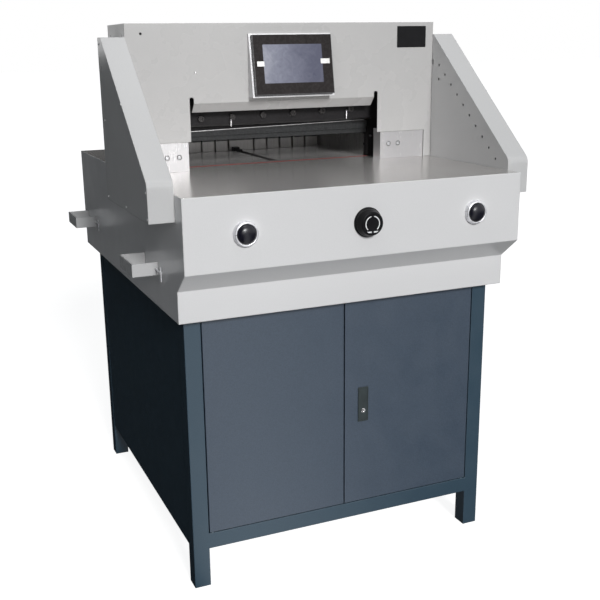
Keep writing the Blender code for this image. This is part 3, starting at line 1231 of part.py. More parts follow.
def backgauge():
    foot = TABLE_Z + GAUGE_SHIM
    middle = foot + GAUGE_HIGH / 2
    plate("backgauge_comb", CAST_ALUMINIUM, [comb_outline()], GAUGE_HIGH, (0, 0, middle), ALONG_Z)

    block_z = (DRIVE_Z - CARRIAGE_HIGH / 2, DRIVE_Z + CARRIAGE_HIGH / 2)
    start = GAUGE_Y - NECK_AHEAD
    ys = (start, start + CARRIAGE_LENGTH)
    carriage = box("backgauge_carriage", BLACK_IRON, (-CARRIAGE_WIDTH / 2, CARRIAGE_WIDTH / 2), ys, block_z)
    neck_x = DRIVE_SLOT_WIDTH / 2 - NECK_SIDE_GAP
    neck_top = foot + CARRIAGE_HIGH / 3

    def build_neck(shape):
        neck_y = (start, GAUGE_Y - SEAT_GAP)
        add_box(shape, (-neck_x, neck_x), neck_y, (block_z[1] - OVERRUN, foot + OVERRUN))

    def build_cap(shape):
        cap_x = (NECK_CAP_X - NECK_CAP_WIDTH / 2, NECK_CAP_X + NECK_CAP_WIDTH / 2)
        add_box(shape, cap_x, (start, GAUGE_Y - SEAT_GAP), (foot, neck_top))

    join_on(carriage, new_object("carriage_neck", mesh_from(build_neck, "carriage_neck")))
    join_on(carriage, new_object("carriage_cap", mesh_from(build_cap, "carriage_cap")))

    def build_bores(shape):
        centre_y = (ys[0] + ys[1]) / 2
        length = CARRIAGE_LENGTH + 2 * OVERRUN
        for place, radius in ((0.0, SCREW_R), (-GUIDE_X, GUIDE_R), (GUIDE_X, GUIDE_R)):
            add_cylinder(shape, (place, centre_y, DRIVE_Z), radius + SEAT_GAP, length, axis="Y", sides=20)

    cut(carriage, new_object("carriage_bores", mesh_from(build_bores, "carriage_bores")))


def backgauge_drive():
    first = (SCREW_Y[0], SCREW_Y[0] + BRACKET_PLATE)
    last = (SCREW_Y[1], SCREW_Y[1] + BRACKET_PLATE)
    half = HANGER_WIDTH / 2
    zs = (TABLE_UNDER - SEAT_GAP - HANGER_DROP, TABLE_UNDER - SEAT_GAP)
    start = first[1] + SEAT_GAP
    end = last[0] - SEAT_GAP
    reach = (first[1] - OVERRUN, last[0] + OVERRUN)
    rods = [
        cylinder_builder((place, (reach[0] + reach[1]) / 2, DRIVE_Z), GUIDE_R, reach[1] - reach[0], "Y")
        for place in (-GUIDE_X, GUIDE_X)
    ]
    hangers = [box_builder(((-half, half), ys, zs)) for ys in (first, last)]
    frame = joined("backgauge_frame", DARK_IRON, (hangers[0], rods[0], rods[1], hangers[1]))

    def build_bores(shape):
        for ys in (first, last):
            centre_y = (ys[0] + ys[1]) / 2
            length = BRACKET_PLATE + 2 * OVERRUN
            add_cylinder(shape, (0, centre_y, DRIVE_Z), JOURNAL_R + SEAT_GAP, length, axis="Y", sides=20)

    cut(frame, new_object("frame_bores", mesh_from(build_bores, "frame_bores")))
    motor_back = first[0] - SEAT_GAP
    motor_front = motor_back - GAUGE_MOTOR_LENGTH
    nose = motor_back - GAUGE_MOTOR_LENGTH / 2
    profile = [
        (0.0, last[1] - SEAT_GAP), (JOURNAL_R, last[1] - SEAT_GAP), (JOURNAL_R, end),
        (SCREW_R, end), (SCREW_R, start), (JOURNAL_R, start), (JOURNAL_R, nose), (0.0, nose),
    ]
    shifted = [(radius, along - GAUGE_Y) for radius, along in profile]
    turned("lead_screw", TOOL_STEEL, shifted, (0, GAUGE_Y, DRIVE_Z), "Y", 20)
    half = GAUGE_MOTOR / 2
    zs = (DRIVE_Z - half, DRIVE_Z + half)
    motor = box("backgauge_motor", BLACK_IRON, (-half, half), (motor_front, motor_back), zs)
    bore = mesh_from(
        lambda shape: add_cylinder(
            shape, (0, motor_back, DRIVE_Z), JOURNAL_R + SEAT_GAP, GAUGE_MOTOR_LENGTH + OVERRUN, "Y", 20
        ),
        "motor_bore",
    )
    cut(motor, new_object("motor_bore", bore))


# Cord inlet
def cord_gland():
    flange = SEAT_GAP + GLAND_FLANGE_HIGH
    gland = [
        (GLAND_BORE_R, GLAND_OUT), (GLAND_R - SHEET, GLAND_OUT),
        (GLAND_R, GLAND_OUT - SHEET), (GLAND_R, flange),
        (GLAND_FLANGE_R, flange), (GLAND_FLANGE_R, SEAT_GAP), (GLAND_R, SEAT_GAP), (GLAND_R, -GLAND_TAIL),
        (GLAND_BORE_R, -GLAND_TAIL),
    ]
    turned("cable_gland", BLACK_PLASTIC, gland, (GLAND_X, HOUSING_DEPTH, GLAND_Z), "Y", 20)


def build_machine():
    stand_frame()
    stand_panels()
    door("left_door", -1)
    right_pan, right_axis = door("right_door", 1)
    door_lock(right_pan, right_axis)
    machine_base()
    side_plates()
    front_panel()
    rear_sheet()
    machine_table()
    machine_frame()
    foot_plates()
    side_gauge()
    hood_front()
    hood_rear()
    guard("left_guard", -1)
    guard("right_guard", 1)
    light_bar("left_light_bar", -1)
    light_bar("right_light_bar", 1)
    controls()
    side_brackets()
    display()
    knife()
    knife_drive()
    clamp()
    backgauge()
    backgauge_drive()
    cord_gland()


build_machine()
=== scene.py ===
import json
import math

import bmesh
import bpy
from mathutils import Matrix, Vector


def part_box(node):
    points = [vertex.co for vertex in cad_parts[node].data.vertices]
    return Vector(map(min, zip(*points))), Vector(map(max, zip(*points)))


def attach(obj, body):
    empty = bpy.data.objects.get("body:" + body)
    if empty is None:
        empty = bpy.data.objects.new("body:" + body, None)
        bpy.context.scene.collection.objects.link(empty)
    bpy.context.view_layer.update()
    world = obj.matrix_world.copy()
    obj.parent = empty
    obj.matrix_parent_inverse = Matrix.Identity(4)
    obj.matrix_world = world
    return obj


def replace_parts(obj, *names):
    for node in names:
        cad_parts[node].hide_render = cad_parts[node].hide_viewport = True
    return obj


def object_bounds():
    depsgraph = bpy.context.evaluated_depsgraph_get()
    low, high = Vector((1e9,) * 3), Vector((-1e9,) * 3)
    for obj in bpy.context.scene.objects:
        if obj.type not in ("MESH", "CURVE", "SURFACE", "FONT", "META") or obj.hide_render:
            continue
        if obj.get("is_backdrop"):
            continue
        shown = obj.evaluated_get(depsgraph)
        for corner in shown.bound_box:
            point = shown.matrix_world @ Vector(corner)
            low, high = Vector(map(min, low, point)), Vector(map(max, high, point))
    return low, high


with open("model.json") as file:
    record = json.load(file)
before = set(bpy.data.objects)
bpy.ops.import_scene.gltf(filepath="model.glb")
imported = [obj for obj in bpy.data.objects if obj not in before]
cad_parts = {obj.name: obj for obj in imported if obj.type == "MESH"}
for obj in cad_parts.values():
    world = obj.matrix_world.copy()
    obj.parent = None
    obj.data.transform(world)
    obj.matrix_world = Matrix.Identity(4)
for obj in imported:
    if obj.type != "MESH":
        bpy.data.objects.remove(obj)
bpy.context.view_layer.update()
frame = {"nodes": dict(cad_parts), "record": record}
NODES = frame["nodes"]

# Lengths are metres. Depths run back from the front panel's face, as in the part's source.
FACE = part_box("front_panel")[0].y

QUARTER, FULL = math.pi / 2, 2 * math.pi


# Node trees
class Nodes:
    """A node tree with short ways to add the nodes used here."""

    def __init__(self, tree):
        self.tree = tree

    def new(self, kind, **settings):
        node = self.tree.nodes.new("ShaderNode" + kind)
        for key, value in settings.items():
            setattr(node, key, value)
        return node

    def feed(self, socket, value):
        """Links another node's output to the socket, or sets the socket to a number or a colour."""
        if isinstance(value, (int, float)):
            socket.default_value = value
        elif isinstance(value, tuple):
            socket.default_value = (*value, 1.0)
        else:
            self.tree.links.new(value, socket)

    def maths(self, kind, first, second):
        node = self.new("Math", operation=kind)
        self.feed(node.inputs[0], first)
        self.feed(node.inputs[1], second)
        return node.outputs[0]

    def remap(self, value, given, wanted, eased=False):
        """Stretches one span of values to another."""
        node = self.new("MapRange", interpolation_type="SMOOTHSTEP" if eased else "LINEAR")
        for key, number in zip(("From Min", "From Max", "To Min", "To Max"), (*given, *wanted)):
            node.inputs[key].default_value = number
        self.feed(node.inputs["Value"], value)
        return node.outputs["Result"]

    def tones(self, value, *stops):
        node = self.new("ValToRGB")
        ramp = node.color_ramp
        while len(ramp.elements) < len(stops):
            ramp.elements.new(0.5)
        for element, (at, colour) in zip(ramp.elements, stops):
            element.position = at
            element.color = (*colour, 1.0)
        self.feed(node.inputs["Fac"], value)
        return node.outputs["Color"]

    def mix(self, share, first, second):
        node = self.new("Mix", data_type="RGBA")
        for index, value in ((0, share), (6, first), (7, second)):
            self.feed(node.inputs[index], value)
        return node.outputs[2]

    def axis(self, vector, name):
        node = self.new("SeparateXYZ")
        self.feed(node.inputs[0], vector)
        return node.outputs[name]


class Surface(Nodes):
    """A Principled material. Its textures are in metres on the object."""

    def __init__(self, name, metallic=0.0, **constants):
        self.made = bpy.data.materials.new(name)
        self.made.use_nodes = True
        super().__init__(self.made.node_tree)
        self.shader = self.tree.nodes["Principled BSDF"]
        self.shader.inputs["Metallic"].default_value = metallic
        for key, value in constants.items():
            self.shader.inputs[key.replace("_", " ")].default_value = value
        self.place = self.new("TexCoord").outputs["Object"]

    def noise(self, scale, detail=2.0, stretch=(1, 1, 1), shift=0.0, distortion=0.0):
        moved = self.new("Mapping")
        moved.inputs["Scale"].default_value = stretch
        moved.inputs["Location"].default_value = (shift, shift * 1.7, shift * 0.6)
        self.feed(moved.inputs["Vector"], self.place)
        noise = self.new("TexNoise")
        for key, number in (("Scale", scale), ("Detail", detail), ("Distortion", distortion)):
            noise.inputs[key].default_value = number
        self.feed(noise.inputs["Vector"], moved.outputs["Vector"])
        return noise.outputs["Fac"]

    def rounded(self, radius):
        node = self.new("Bevel", samples=6)
        node.inputs["Radius"].default_value = radius
        return node.outputs["Normal"]

    def edges(self, normal, sharp=0.80, flat=0.985):
        """1 on an outer or inner edge, 0 on a flat."""
        dot = self.new("VectorMath", operation="DOT_PRODUCT")
        self.feed(dot.inputs[0], self.new("NewGeometry").outputs["True Normal"])
        self.feed(dot.inputs[1], normal)
        return self.remap(dot.outputs["Value"], (sharp, flat), (1.0, 0.0))

    def bump(self, height, depth, strength, normal):
        node = self.new("Bump")
        node.inputs["Strength"].default_value = strength
        node.inputs["Distance"].default_value = depth
        self.feed(node.inputs["Height"], height)
        self.feed(node.inputs["Normal"], normal)
        return node.outputs["Normal"]

    def finish(self, colour, rough, normal=None):
        self.feed(self.shader.inputs["Base Color"], colour)
        self.feed(self.shader.inputs["Roughness"], rough)
        if normal is not None:
            self.feed(self.shader.inputs["Normal"], normal)
        self.made.diffuse_color = (0.5, 0.5, 0.5, 1.0)
        return self.made


def scaled(colour, share):
    return tuple(min(1.0, channel * share) for channel in colour)


# Finishes. Most of a noise texture's values lie in the first span.
NOISE = (0.3, 0.7)
DUST = (0.16, 0.155, 0.15)
SOFT_EDGE, PLATED_EDGE, RAGGED = 0.0006, 0.0004, 0.0004


def powder_coat(
    name, colour, rough, speckle, grain=650.0, depth=0.00008, wear_and_highlight=0.10, shine=0.4, radius=0.0028,
):
    """Baked powder paint: fine orange peel, faint clouds and speckle, and thin bright edges that are partly
    wearing of the paint and partly a painted highlight.
    """
    s = Surface(name, Specular_IOR_Level=shine)
    clouds = s.tones(s.noise(scale=2.6), (0.25, scaled(colour, 0.98)), (0.78, scaled(colour, 1.02)))
    dark_dot, light_dot = scaled(colour, 1.0 - speckle * 1.6), scaled(colour, 1.0 + speckle)
    dots = s.tones(s.noise(scale=grain * 0.9, detail=1.0, shift=3.0), (0.32, dark_dot), (0.66, light_dot))
    base = s.mix(0.5, clouds, dots)
    normal = s.rounded(radius)
    # Along the edges the paint is lightened: partly wearing of the paint, partly a painted highlight on the
    # rounded edges; noise makes it patchy
    patchy_wear_and_highlight = s.remap(s.noise(scale=38.0, detail=3.0, shift=9.0), (0.42, 0.66), (0.45, 1.0))
    worn = s.maths("MULTIPLY", s.edges(normal), patchy_wear_and_highlight)
    base = s.mix(s.maths("MULTIPLY", worn, wear_and_highlight * 4), base, scaled(colour, 1.28))
    roughness = s.remap(s.noise(scale=14.0, detail=3.0, shift=5.0), NOISE, (rough - 0.045, rough + 0.05))
    return s.finish(base, roughness, s.bump(s.noise(grain), depth, strength=0.8, normal=normal))


def cast_paint(name, colour, rough, radius=0.002, dust=0.22, shine=0.3):
    """Painted casting: coarse sand-cast relief under a satin paint, dusty in the low spots."""
    s = Surface(name, Specular_IOR_Level=shine)
    relief = s.noise(scale=230.0, detail=4.0)
    base = s.tones(relief, (0.35, scaled(colour, 0.8)), (0.70, scaled(colour, 1.25)))
    dusty = s.remap(s.noise(scale=9.0, detail=4.0, shift=2.0), (0.5, 0.8), (0.0, dust))
    base = s.mix(dusty, base, DUST)
    roughness = s.remap(s.noise(scale=60.0, detail=3.0, shift=4.0), NOISE, (rough - 0.08, rough + 0.1))
    return s.finish(base, roughness, s.bump(relief, depth=0.0003, strength=0.7, normal=s.rounded(radius)))


def ground_steel(
    name, colour, rough, along, scale, spread=0.05, depth=0.00002, stain=0.10, metal=1.0, drawn=0.0,
    vary=0.19, scuff=0.06,
):
    """Ground or rolled metal: fine parallel scratches, broad cloudy stains and small scuffs."""
    s = Surface(name, metallic=metal, Anisotropic=drawn)
    if drawn:
        way = s.new("Tangent", direction_type="RADIAL", axis="X")
        s.feed(s.shader.inputs["Tangent"], way.outputs["Tangent"])
    lines = s.noise(scale, detail=3.0, stretch=along)
    fine = s.noise(scale * 4.0, stretch=along, shift=6.0)
    base = s.tones(lines, (0.30, scaled(colour, 1.0 - spread)), (0.70, scaled(colour, 1.0 + spread)))
    clouds = s.noise(scale=5.5, detail=4.0, shift=8.0, distortion=0.4)
    base = s.mix(s.remap(clouds, (0.42, 0.75), (0.0, stain)), base, scaled(colour, 0.72))
    both = s.maths("ADD", s.maths("MULTIPLY", lines, 0.6), s.maths("MULTIPLY", fine, 0.4))
    roughness = s.remap(both, NOISE, (rough * (1 - vary), rough * (1 + vary)))
    scuffs = s.remap(s.noise(scale=21.0, detail=5.0, shift=1.0), (0.55, 0.8), (0.0, scuff))
    roughness = s.maths("ADD", roughness, scuffs)
    return s.finish(base, roughness, s.bump(both, depth, strength=0.6, normal=s.rounded(SOFT_EDGE)))


def moulded(name, colour, rough, grain=900.0, depth=0.00002, shine=0.5):
    """Moulded plastic: faint matte grain and finger-dulled patches."""
    s = Surface(name, Specular_IOR_Level=shine)
    patches = s.noise(scale=45.0, detail=3.0)
    base = s.tones(patches, (0.35, scaled(colour, 0.88)), (0.7, scaled(colour, 1.15)))
    dulled = s.noise(scale=120.0, detail=3.0, shift=2.0)
    roughness = s.remap(dulled, NOISE, (rough - 0.04, rough + 0.06))
    return s.finish(base, roughness, s.bump(s.noise(grain), depth, strength=0.5, normal=s.rounded(SOFT_EDGE)))


def plated(name, colour, rough, metal=1.0):
    """Bright plating: nearly clean, with faint cloud and hairlines."""
    s = Surface(name, metallic=metal)
    base = s.tones(s.noise(scale=60.0), (0.3, scaled(colour, 0.96)), (0.7, scaled(colour, 1.04)))
    roughness = s.remap(s.noise(scale=240.0, detail=3.0), (0.35, 0.7), (rough * 0.7, rough * 1.5))
    relief = s.bump(s.noise(scale=700.0), depth=0.000004, strength=0.4, normal=s.rounded(PLATED_EDGE))
    return s.finish(base, roughness, relief)


def comb_with_painted_shade(painted_shade_from):
    """Oiled machined teeth up to a height, and above it black painted shade for the shadow on the comb's
    upper part.
    """
    s = Surface("machined comb, painted shade above")
    ragged = s.remap(s.noise(scale=160.0), NOISE, (-RAGGED, RAGGED))
    height = s.maths("ADD", s.axis(s.place, "Z"), ragged)
    # painted is the share of black painted shade, by height on the comb
    painted = s.remap(height, (painted_shade_from - RAGGED, painted_shade_from + RAGGED), (0.0, 1.0))
    lines = s.noise(scale=6.0, detail=3.0, stretch=(120, 60, 2))
    bare = s.tones(lines, (0.30, (0.275, 0.27, 0.265)), (0.70, (0.34, 0.332, 0.328)))
    clouds = s.noise(scale=90.0, detail=3.0, shift=4.0)
    # black is the colour of the painted shade on the comb's upper part
    black = s.tones(clouds, (0.3, (0.010, 0.010, 0.011)), (0.7, (0.018, 0.018, 0.019)))
    s.feed(s.shader.inputs["Metallic"], s.remap(painted, (0.0, 1.0), (0.85, 0.0)))
    rough = s.remap(s.noise(scale=40.0, detail=3.0, shift=2.0), NOISE, (0.40, 0.52))
    relief = s.bump(lines, depth=0.00002, strength=0.5, normal=s.rounded(SOFT_EDGE))
    return s.finish(s.mix(painted, bare, black), rough, relief)


BEZEL = plated("brushed bezel chrome", (0.80, 0.80, 0.83), rough=0.38, metal=0.7)
ZINC = plated("zinc plated steel", (0.66, 0.66, 0.68), rough=0.30, metal=0.65)
PIN_ZINC = plated("bright zinc on the locking pins", (0.86, 0.86, 0.88), rough=0.30, metal=0.25)
DULL_ZINC = plated("dull zinc on the guard screws", (0.42, 0.42, 0.43), rough=0.42, metal=0.45)
BOLT_STEEL = plated("blackened bolt steel", (0.045, 0.042, 0.042), rough=0.28, metal=0.5)
GREY = (0.705, 0.703, 0.708)
# HOOD is partly the hood's own paint tone and partly painted shade: it is set lower to offset the extra light
# the lamps throw on the hood
HOOD = (0.447, 0.442, 0.438)
GUARD = (0.560, 0.560, 0.561)
BRACKET = (0.520, 0.520, 0.523)
SLATE = (0.029, 0.059, 0.087)
DOOR = (0.043, 0.064, 0.095)
# Height above the comb's foot at which the black painted shade starts
PAINTED_SHADE_HEIGHT = 0.0297

FINISHES = {
    "grey_paint": powder_coat("grey powder coat", GREY, rough=0.20, speckle=0.03, wear_and_highlight=0.24, radius=0.0036),
    "hood_paint": powder_coat("hood powder coat", HOOD, rough=0.28, speckle=0.035),
    "slate_paint": powder_coat(
        "slate powder coat", SLATE, rough=0.40, speckle=0.12, grain=420.0, depth=0.00010, wear_and_highlight=0.12,
        shine=0.65,
    ),
    "door_paint": powder_coat(
        "door powder coat", DOOR, rough=0.44, speckle=0.20, grain=380.0, depth=0.00014, wear_and_highlight=0.10,
        shine=0.78,
    ),
    "table_steel": ground_steel(
        "ground table steel", (0.79, 0.77, 0.755), rough=0.245, along=(1, 1, 1), scale=130.0, spread=0.02,
        depth=0.0000003, stain=0.05, metal=0.88, drawn=0.75, vary=0.04, scuff=0.012,
    ),
    "polished_steel": ground_steel(
        "satin foot steel", (0.74, 0.73, 0.74), rough=0.24, along=(60, 2, 3), scale=7.0, spread=0.03,
        depth=0.000004, stain=0.05, metal=0.65,
    ),
    "tool_steel": ground_steel(
        "ground tool steel", (0.50, 0.50, 0.51), rough=0.26, along=(2, 2, 80), scale=8.0, spread=0.06,
        depth=0.00001,
    ),
    "bronze": ground_steel(
        "machined bronze", (0.52, 0.34, 0.15), rough=0.32, along=(2, 2, 60), scale=10.0, spread=0.08,
    ),
    "cast_aluminium": comb_with_painted_shade(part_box("backgauge_comb")[0].z + PAINTED_SHADE_HEIGHT),
    "silver_bezel": ground_steel(
        "satin silver bezel", (0.58, 0.58, 0.59), rough=0.40, along=(60, 3, 60), scale=9.0, spread=0.03,
        depth=0.000004, stain=0.03, metal=0.7,
    ),
    "chrome": plated("bright chrome", (0.80, 0.80, 0.82), rough=0.09),
    "black_iron": cast_paint(
        "black painted iron", (0.015, 0.014, 0.015), rough=0.40, dust=0.05, shine=0.15,
    ),
    "dark_iron": cast_paint("dark grey casting paint", (0.080, 0.086, 0.092), rough=0.48),
    "clamp_iron": cast_paint(
        "clamp casting paint", (0.026, 0.027, 0.028), rough=0.40, radius=0.001, dust=0.04, shine=0.2,
    ),
    "motor_paint": powder_coat(
        "blue motor enamel", (0.09, 0.15, 0.23), rough=0.36, speckle=0.06, grain=260.0, depth=0.0001,
    ),
    "black_plastic": moulded("black moulded plastic", (0.009, 0.009, 0.010), rough=0.38, shine=0.12),
    "lock_plastic": moulded("lock plastic", (0.026, 0.036, 0.038), rough=0.40),
    # The button plastic's slight blue tint is a painted reflection
    "button_plastic": moulded(
        "gloss button plastic", (0.006, 0.006, 0.012), rough=0.30, shine=0.42, depth=0.000006,
    ),
    "knob_plastic": moulded(
        "satin knob plastic", (0.007, 0.007, 0.008), rough=0.36, grain=1200.0, shine=0.12,
    ),
    "red_plastic": moulded(
        "red cutting stick", (0.40, 0.085, 0.078), rough=0.46, grain=500.0, depth=0.00006,
    ),
    "black_glass": moulded("display panel film", (0.024, 0.021, 0.021), rough=0.26, depth=0.0, shine=0.10),
}

# Nodes whose finish differs from their slot's, by the end of their names
OWN_FINISHES = {
    "_guard": powder_coat("guard powder coat", GUARD, rough=0.18, speckle=0.03, wear_and_highlight=0.20, shine=0.2),
    "_bracket": powder_coat("bracket powder coat", BRACKET, rough=0.24, speckle=0.03, shine=0.3),
    "knife_blade": ground_steel(
        "oiled blade steel", (0.045, 0.045, 0.046), rough=0.30, along=(2, 2, 80), scale=8.0, spread=0.06,
        depth=0.00001, metal=0.6,
    ),
    "right_side_gauge": ground_steel(
        "oiled gauge steel", (0.34, 0.337, 0.334), rough=0.30, along=(2, 60, 2), scale=7.0, spread=0.05,
        depth=0.000005,
    ),
    "_locking_pin": PIN_ZINC,
}
SLOT_OF = {part["node"]: part["material_slot"] for part in frame["record"]["subparts"]}
for node_name, node in NODES.items():
    finish = FINISHES[SLOT_OF[node_name]]
    for ending, own_finish in OWN_FINISHES.items():
        if node_name.endswith(ending):
            finish = own_finish
    if node.data.materials:
        for index in range(len(node.data.materials)):
            node.data.materials[index] = finish
    else:
        node.data.materials.append(finish)


# Makers of scene pieces. Depth (Y) is given behind the front panel's face.
def piece(name, shape, slot, body, finish=None, smooth=40, bevel=None):
    """Turns a bmesh into a body's object; smooth is an angle in degrees, bevel a width and a count."""
    bmesh.ops.recalc_face_normals(shape, faces=shape.faces)
    mesh = bpy.data.meshes.new(name)
    shape.to_mesh(mesh)
    shape.free()
    mesh.materials.append(finish or FINISHES[slot])
    made = bpy.data.objects.new(name, mesh)
    bpy.context.scene.collection.objects.link(made)
    if smooth:
        mesh.shade_smooth()
        mesh.set_sharp_from_angle(angle=math.radians(smooth))
    if bevel:
        change = made.modifiers.new("edges", "BEVEL")
        change.width, change.segments = bevel
        change.limit_method = "ANGLE"
        change.harden_normals = True
    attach(made, body)
    return made


AXES = {
    "-Y": Matrix.Rotation(QUARTER, 4, "X"),
    "Z": Matrix.Identity(4),
    "X": Matrix.Rotation(QUARTER, 4, "Y"),
    "-X": Matrix.Rotation(-QUARTER, 4, "Y"),
}


def facing(x, depth, z, axis="-Y"):
    """The place at a point, with its local Z along an axis."""
    return Matrix.Translation((x, depth + FACE, z)) @ AXES[axis]


def round_point(radius, angle, height):
    return Vector((radius * math.cos(angle), radius * math.sin(angle), height))


def join(shape, first, second):
    """Faces all the way round between two rings with the same number of vertices."""
    for index in range(len(first)):
        after = (index + 1) % len(first)
        shape.faces.new((first[index], first[after], second[after], second[index]))


def lathe(shape, profile, at, axis="-Y", steps=72):
    """Turns (radius, height) pairs about an axis through a point; a zero radius closes the end."""
    place = facing(*at, axis)
    rings = []
    for radius, height in profile:
        angles = [FULL * step / steps for step in range(steps if radius else 1)]
        rings.append([shape.verts.new(place @ round_point(radius, angle, height)) for angle in angles])
    pairs = list(zip(rings, rings[1:]))
    if len(rings[0]) > 1 and len(rings[-1]) > 1:
        pairs.append((rings[-1], rings[0]))
    for first, second in pairs:
        for step in range(steps):
            after = (step + 1) % steps
            if len(first) == 1:
                shape.faces.new((first[0], second[step], second[after]))
            elif len(second) == 1:
                shape.faces.new((first[step], second[0], first[after]))
            else:
                shape.faces.new((first[step], second[step], second[after], first[after]))


def rounded_rect(half_w, half_h, radius, steps=6):
    """The corner points of a rectangle with round corners, from the right side's top round to the left."""
    points = []
    for quarter, (side_x, side_y) in enumerate(((1, 1), (-1, 1), (-1, -1), (1, -1))):
        for step in range(steps + 1):
            corner = round_point(radius, QUARTER * (quarter + step / steps), 0.0)
            points.append((side_x * (half_w - radius) + corner.x, side_y * (half_h - radius) + corner.y))
    return points


def slab(shape, outline, thick, place):
    """A closed outline in local X and Y, made thick along local +Z."""
    low = [shape.verts.new(place @ Vector((x, y, 0.0))) for x, y in outline]
    high = [shape.verts.new(place @ Vector((x, y, thick))) for x, y in outline]
    shape.faces.new(low[::-1])
    shape.faces.new(high)
    join(shape, low, high)


def frame_slab(shape, outer, inner, thick, place):
    """The ring between two outlines with the same number of points."""
    rings = []
    for outline, height in ((outer, 0.0), (outer, thick), (inner, thick), (inner, 0.0)):
        rings.append([shape.verts.new(place @ Vector((x, y, height))) for x, y in outline])
    for index, ring in enumerate(rings):
        join(shape, ring, rings[(index + 1) % len(rings)])


def cap_screw(shape, at, axis, radius, high, socket, steps=32):
    """A socket head: a turned cap with a six-sided recess; socket is its radius at the corners."""
    place = facing(*at, axis)
    edge, floor_height, side_angle = radius * 0.12, high * 0.35, math.pi / 3
    angles = [FULL * k / steps for k in range(steps)]
    rings = []
    for reach, height in ((radius, 0.0), (radius, high - edge), (radius - edge, high)):
        rings.append([shape.verts.new(place @ round_point(reach, angle, height)) for angle in angles])
    for height in (high, floor_height):
        hexagon = []
        for angle in angles:
            from_middle = angle % side_angle - side_angle / 2
            reach = socket * math.cos(side_angle / 2) / math.cos(from_middle)
            hexagon.append(shape.verts.new(place @ round_point(reach, angle, height)))
        rings.append(hexagon)
    for first, second in zip(rings, rings[1:]):
        join(shape, first, second)
    shape.faces.new(rings[-1])


def arc_band(shape, at, radius, width, start, end, high, steps=28):
    """A flat band bent along an arc, given by two angles in degrees and narrowed at its ends."""
    place = facing(*at)
    rows = []
    for step in range(steps + 1):
        angle = math.radians(start + (end - start) * step / steps)
        half = width / 2 * (1.0 if 0 < step < steps else 0.7)
        section = ((-half, 0.0), (-half, high), (half, high), (half, 0.0))
        rows.append([shape.verts.new(place @ round_point(radius + out, angle, up)) for out, up in section])
    for first, second in zip(rows, rows[1:]):
        join(shape, first, second)
    shape.faces.new(rows[0])
    shape.faces.new(rows[-1][::-1])


# Push buttons, knob and their bezels, in place of the faceted solids. Profiles are (radius, height) pairs.
BUTTON_Z = (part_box("left_button_bezel")[0].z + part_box("left_button_bezel")[1].z) / 2
CONTROL_DEPTH, CONTROL_STEPS = -0.0003, 96
BEZEL_RING = (
    (0.0221, 0.0086), (0.0224, 0.0100), (0.0232, 0.0108), (0.0246, 0.0110), (0.0260, 0.0106),
    (0.0270, 0.0096), (0.0275, 0.0080), (0.0276, 0.0058), (0.0281, 0.0050), (0.0285, 0.0042), (0.0285, 0.0),
    (0.0150, 0.0), (0.0150, -0.0445), (0.0080, -0.0450), (0.0076, 0.0010), (0.0221, 0.0010),
)
DOME_RADIUS, DOME_FOOT, DOME_RISE, DOME_STEPS = 0.0211, 0.0092, 0.0097, 12
BUTTON_SKIRT = (
    (0.0213, 0.0088), (0.0215, 0.0082), (0.0215, 0.0054), (0.0070, 0.0054), (0.0070, -0.0224),
    (0.0, -0.0224),
)
KNOB_COLLAR = (
    (0.0057, 0.0058), (0.0325, 0.0058), (0.0334, 0.0054), (0.0341, 0.0044), (0.0345, 0.0030), (0.0345, 0.0),
    (0.0150, 0.0), (0.0150, -0.0448), (0.0057, -0.0448),
)
KNOB_TOP = 0.0249
KNOB_CAP = (
    (0.0, KNOB_TOP), (0.0215, KNOB_TOP), (0.0228, 0.0252), (0.0246, 0.0252), (0.0262, 0.0247),
    (0.0270, 0.0238), (0.0274, 0.0224), (0.0279, 0.0200), (0.0292, 0.0160), (0.0306, 0.0124),
    (0.0315, 0.0100), (0.0318, 0.0084), (0.0317, 0.0069), (0.0050, 0.0069), (0.0050, -0.0224), (0.0, -0.0224),
)


def centre_x(node):
    low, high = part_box(node)
    return (low.x + high.x) / 2


for side in ("left", "right"):
    at = (centre_x(side + "_button_bezel"), CONTROL_DEPTH, BUTTON_Z)
    ring = bmesh.new()
    lathe(ring, BEZEL_RING, at, steps=CONTROL_STEPS)
    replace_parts(piece(side + "_bezel_ring", ring, "chrome", "machine", BEZEL), side + "_button_bezel")
    dome = [(0.0, DOME_FOOT + DOME_RISE)]
    for step in range(1, DOME_STEPS + 1):
        turn = QUARTER * step / DOME_STEPS
        dome.append((DOME_RADIUS * math.sin(turn), DOME_FOOT + DOME_RISE * math.cos(turn)))
    cap = bmesh.new()
    lathe(cap, (*dome, *BUTTON_SKIRT), at, steps=CONTROL_STEPS)
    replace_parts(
        piece(side + "_button_cap", cap, "button_plastic", side + "_button"), side + "_cut_button"
    )

KNOB_AT = (centre_x("knob_base"), CONTROL_DEPTH, BUTTON_Z)
base = bmesh.new()
lathe(base, KNOB_COLLAR, KNOB_AT, steps=CONTROL_STEPS)
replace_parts(piece("knob_collar", base, "black_plastic", "machine"), "knob_base")

knob = bmesh.new()
lathe(knob, KNOB_CAP, KNOB_AT, steps=CONTROL_STEPS)
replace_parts(piece("knob_cap", knob, "knob_plastic", "knob"), "speed_knob")

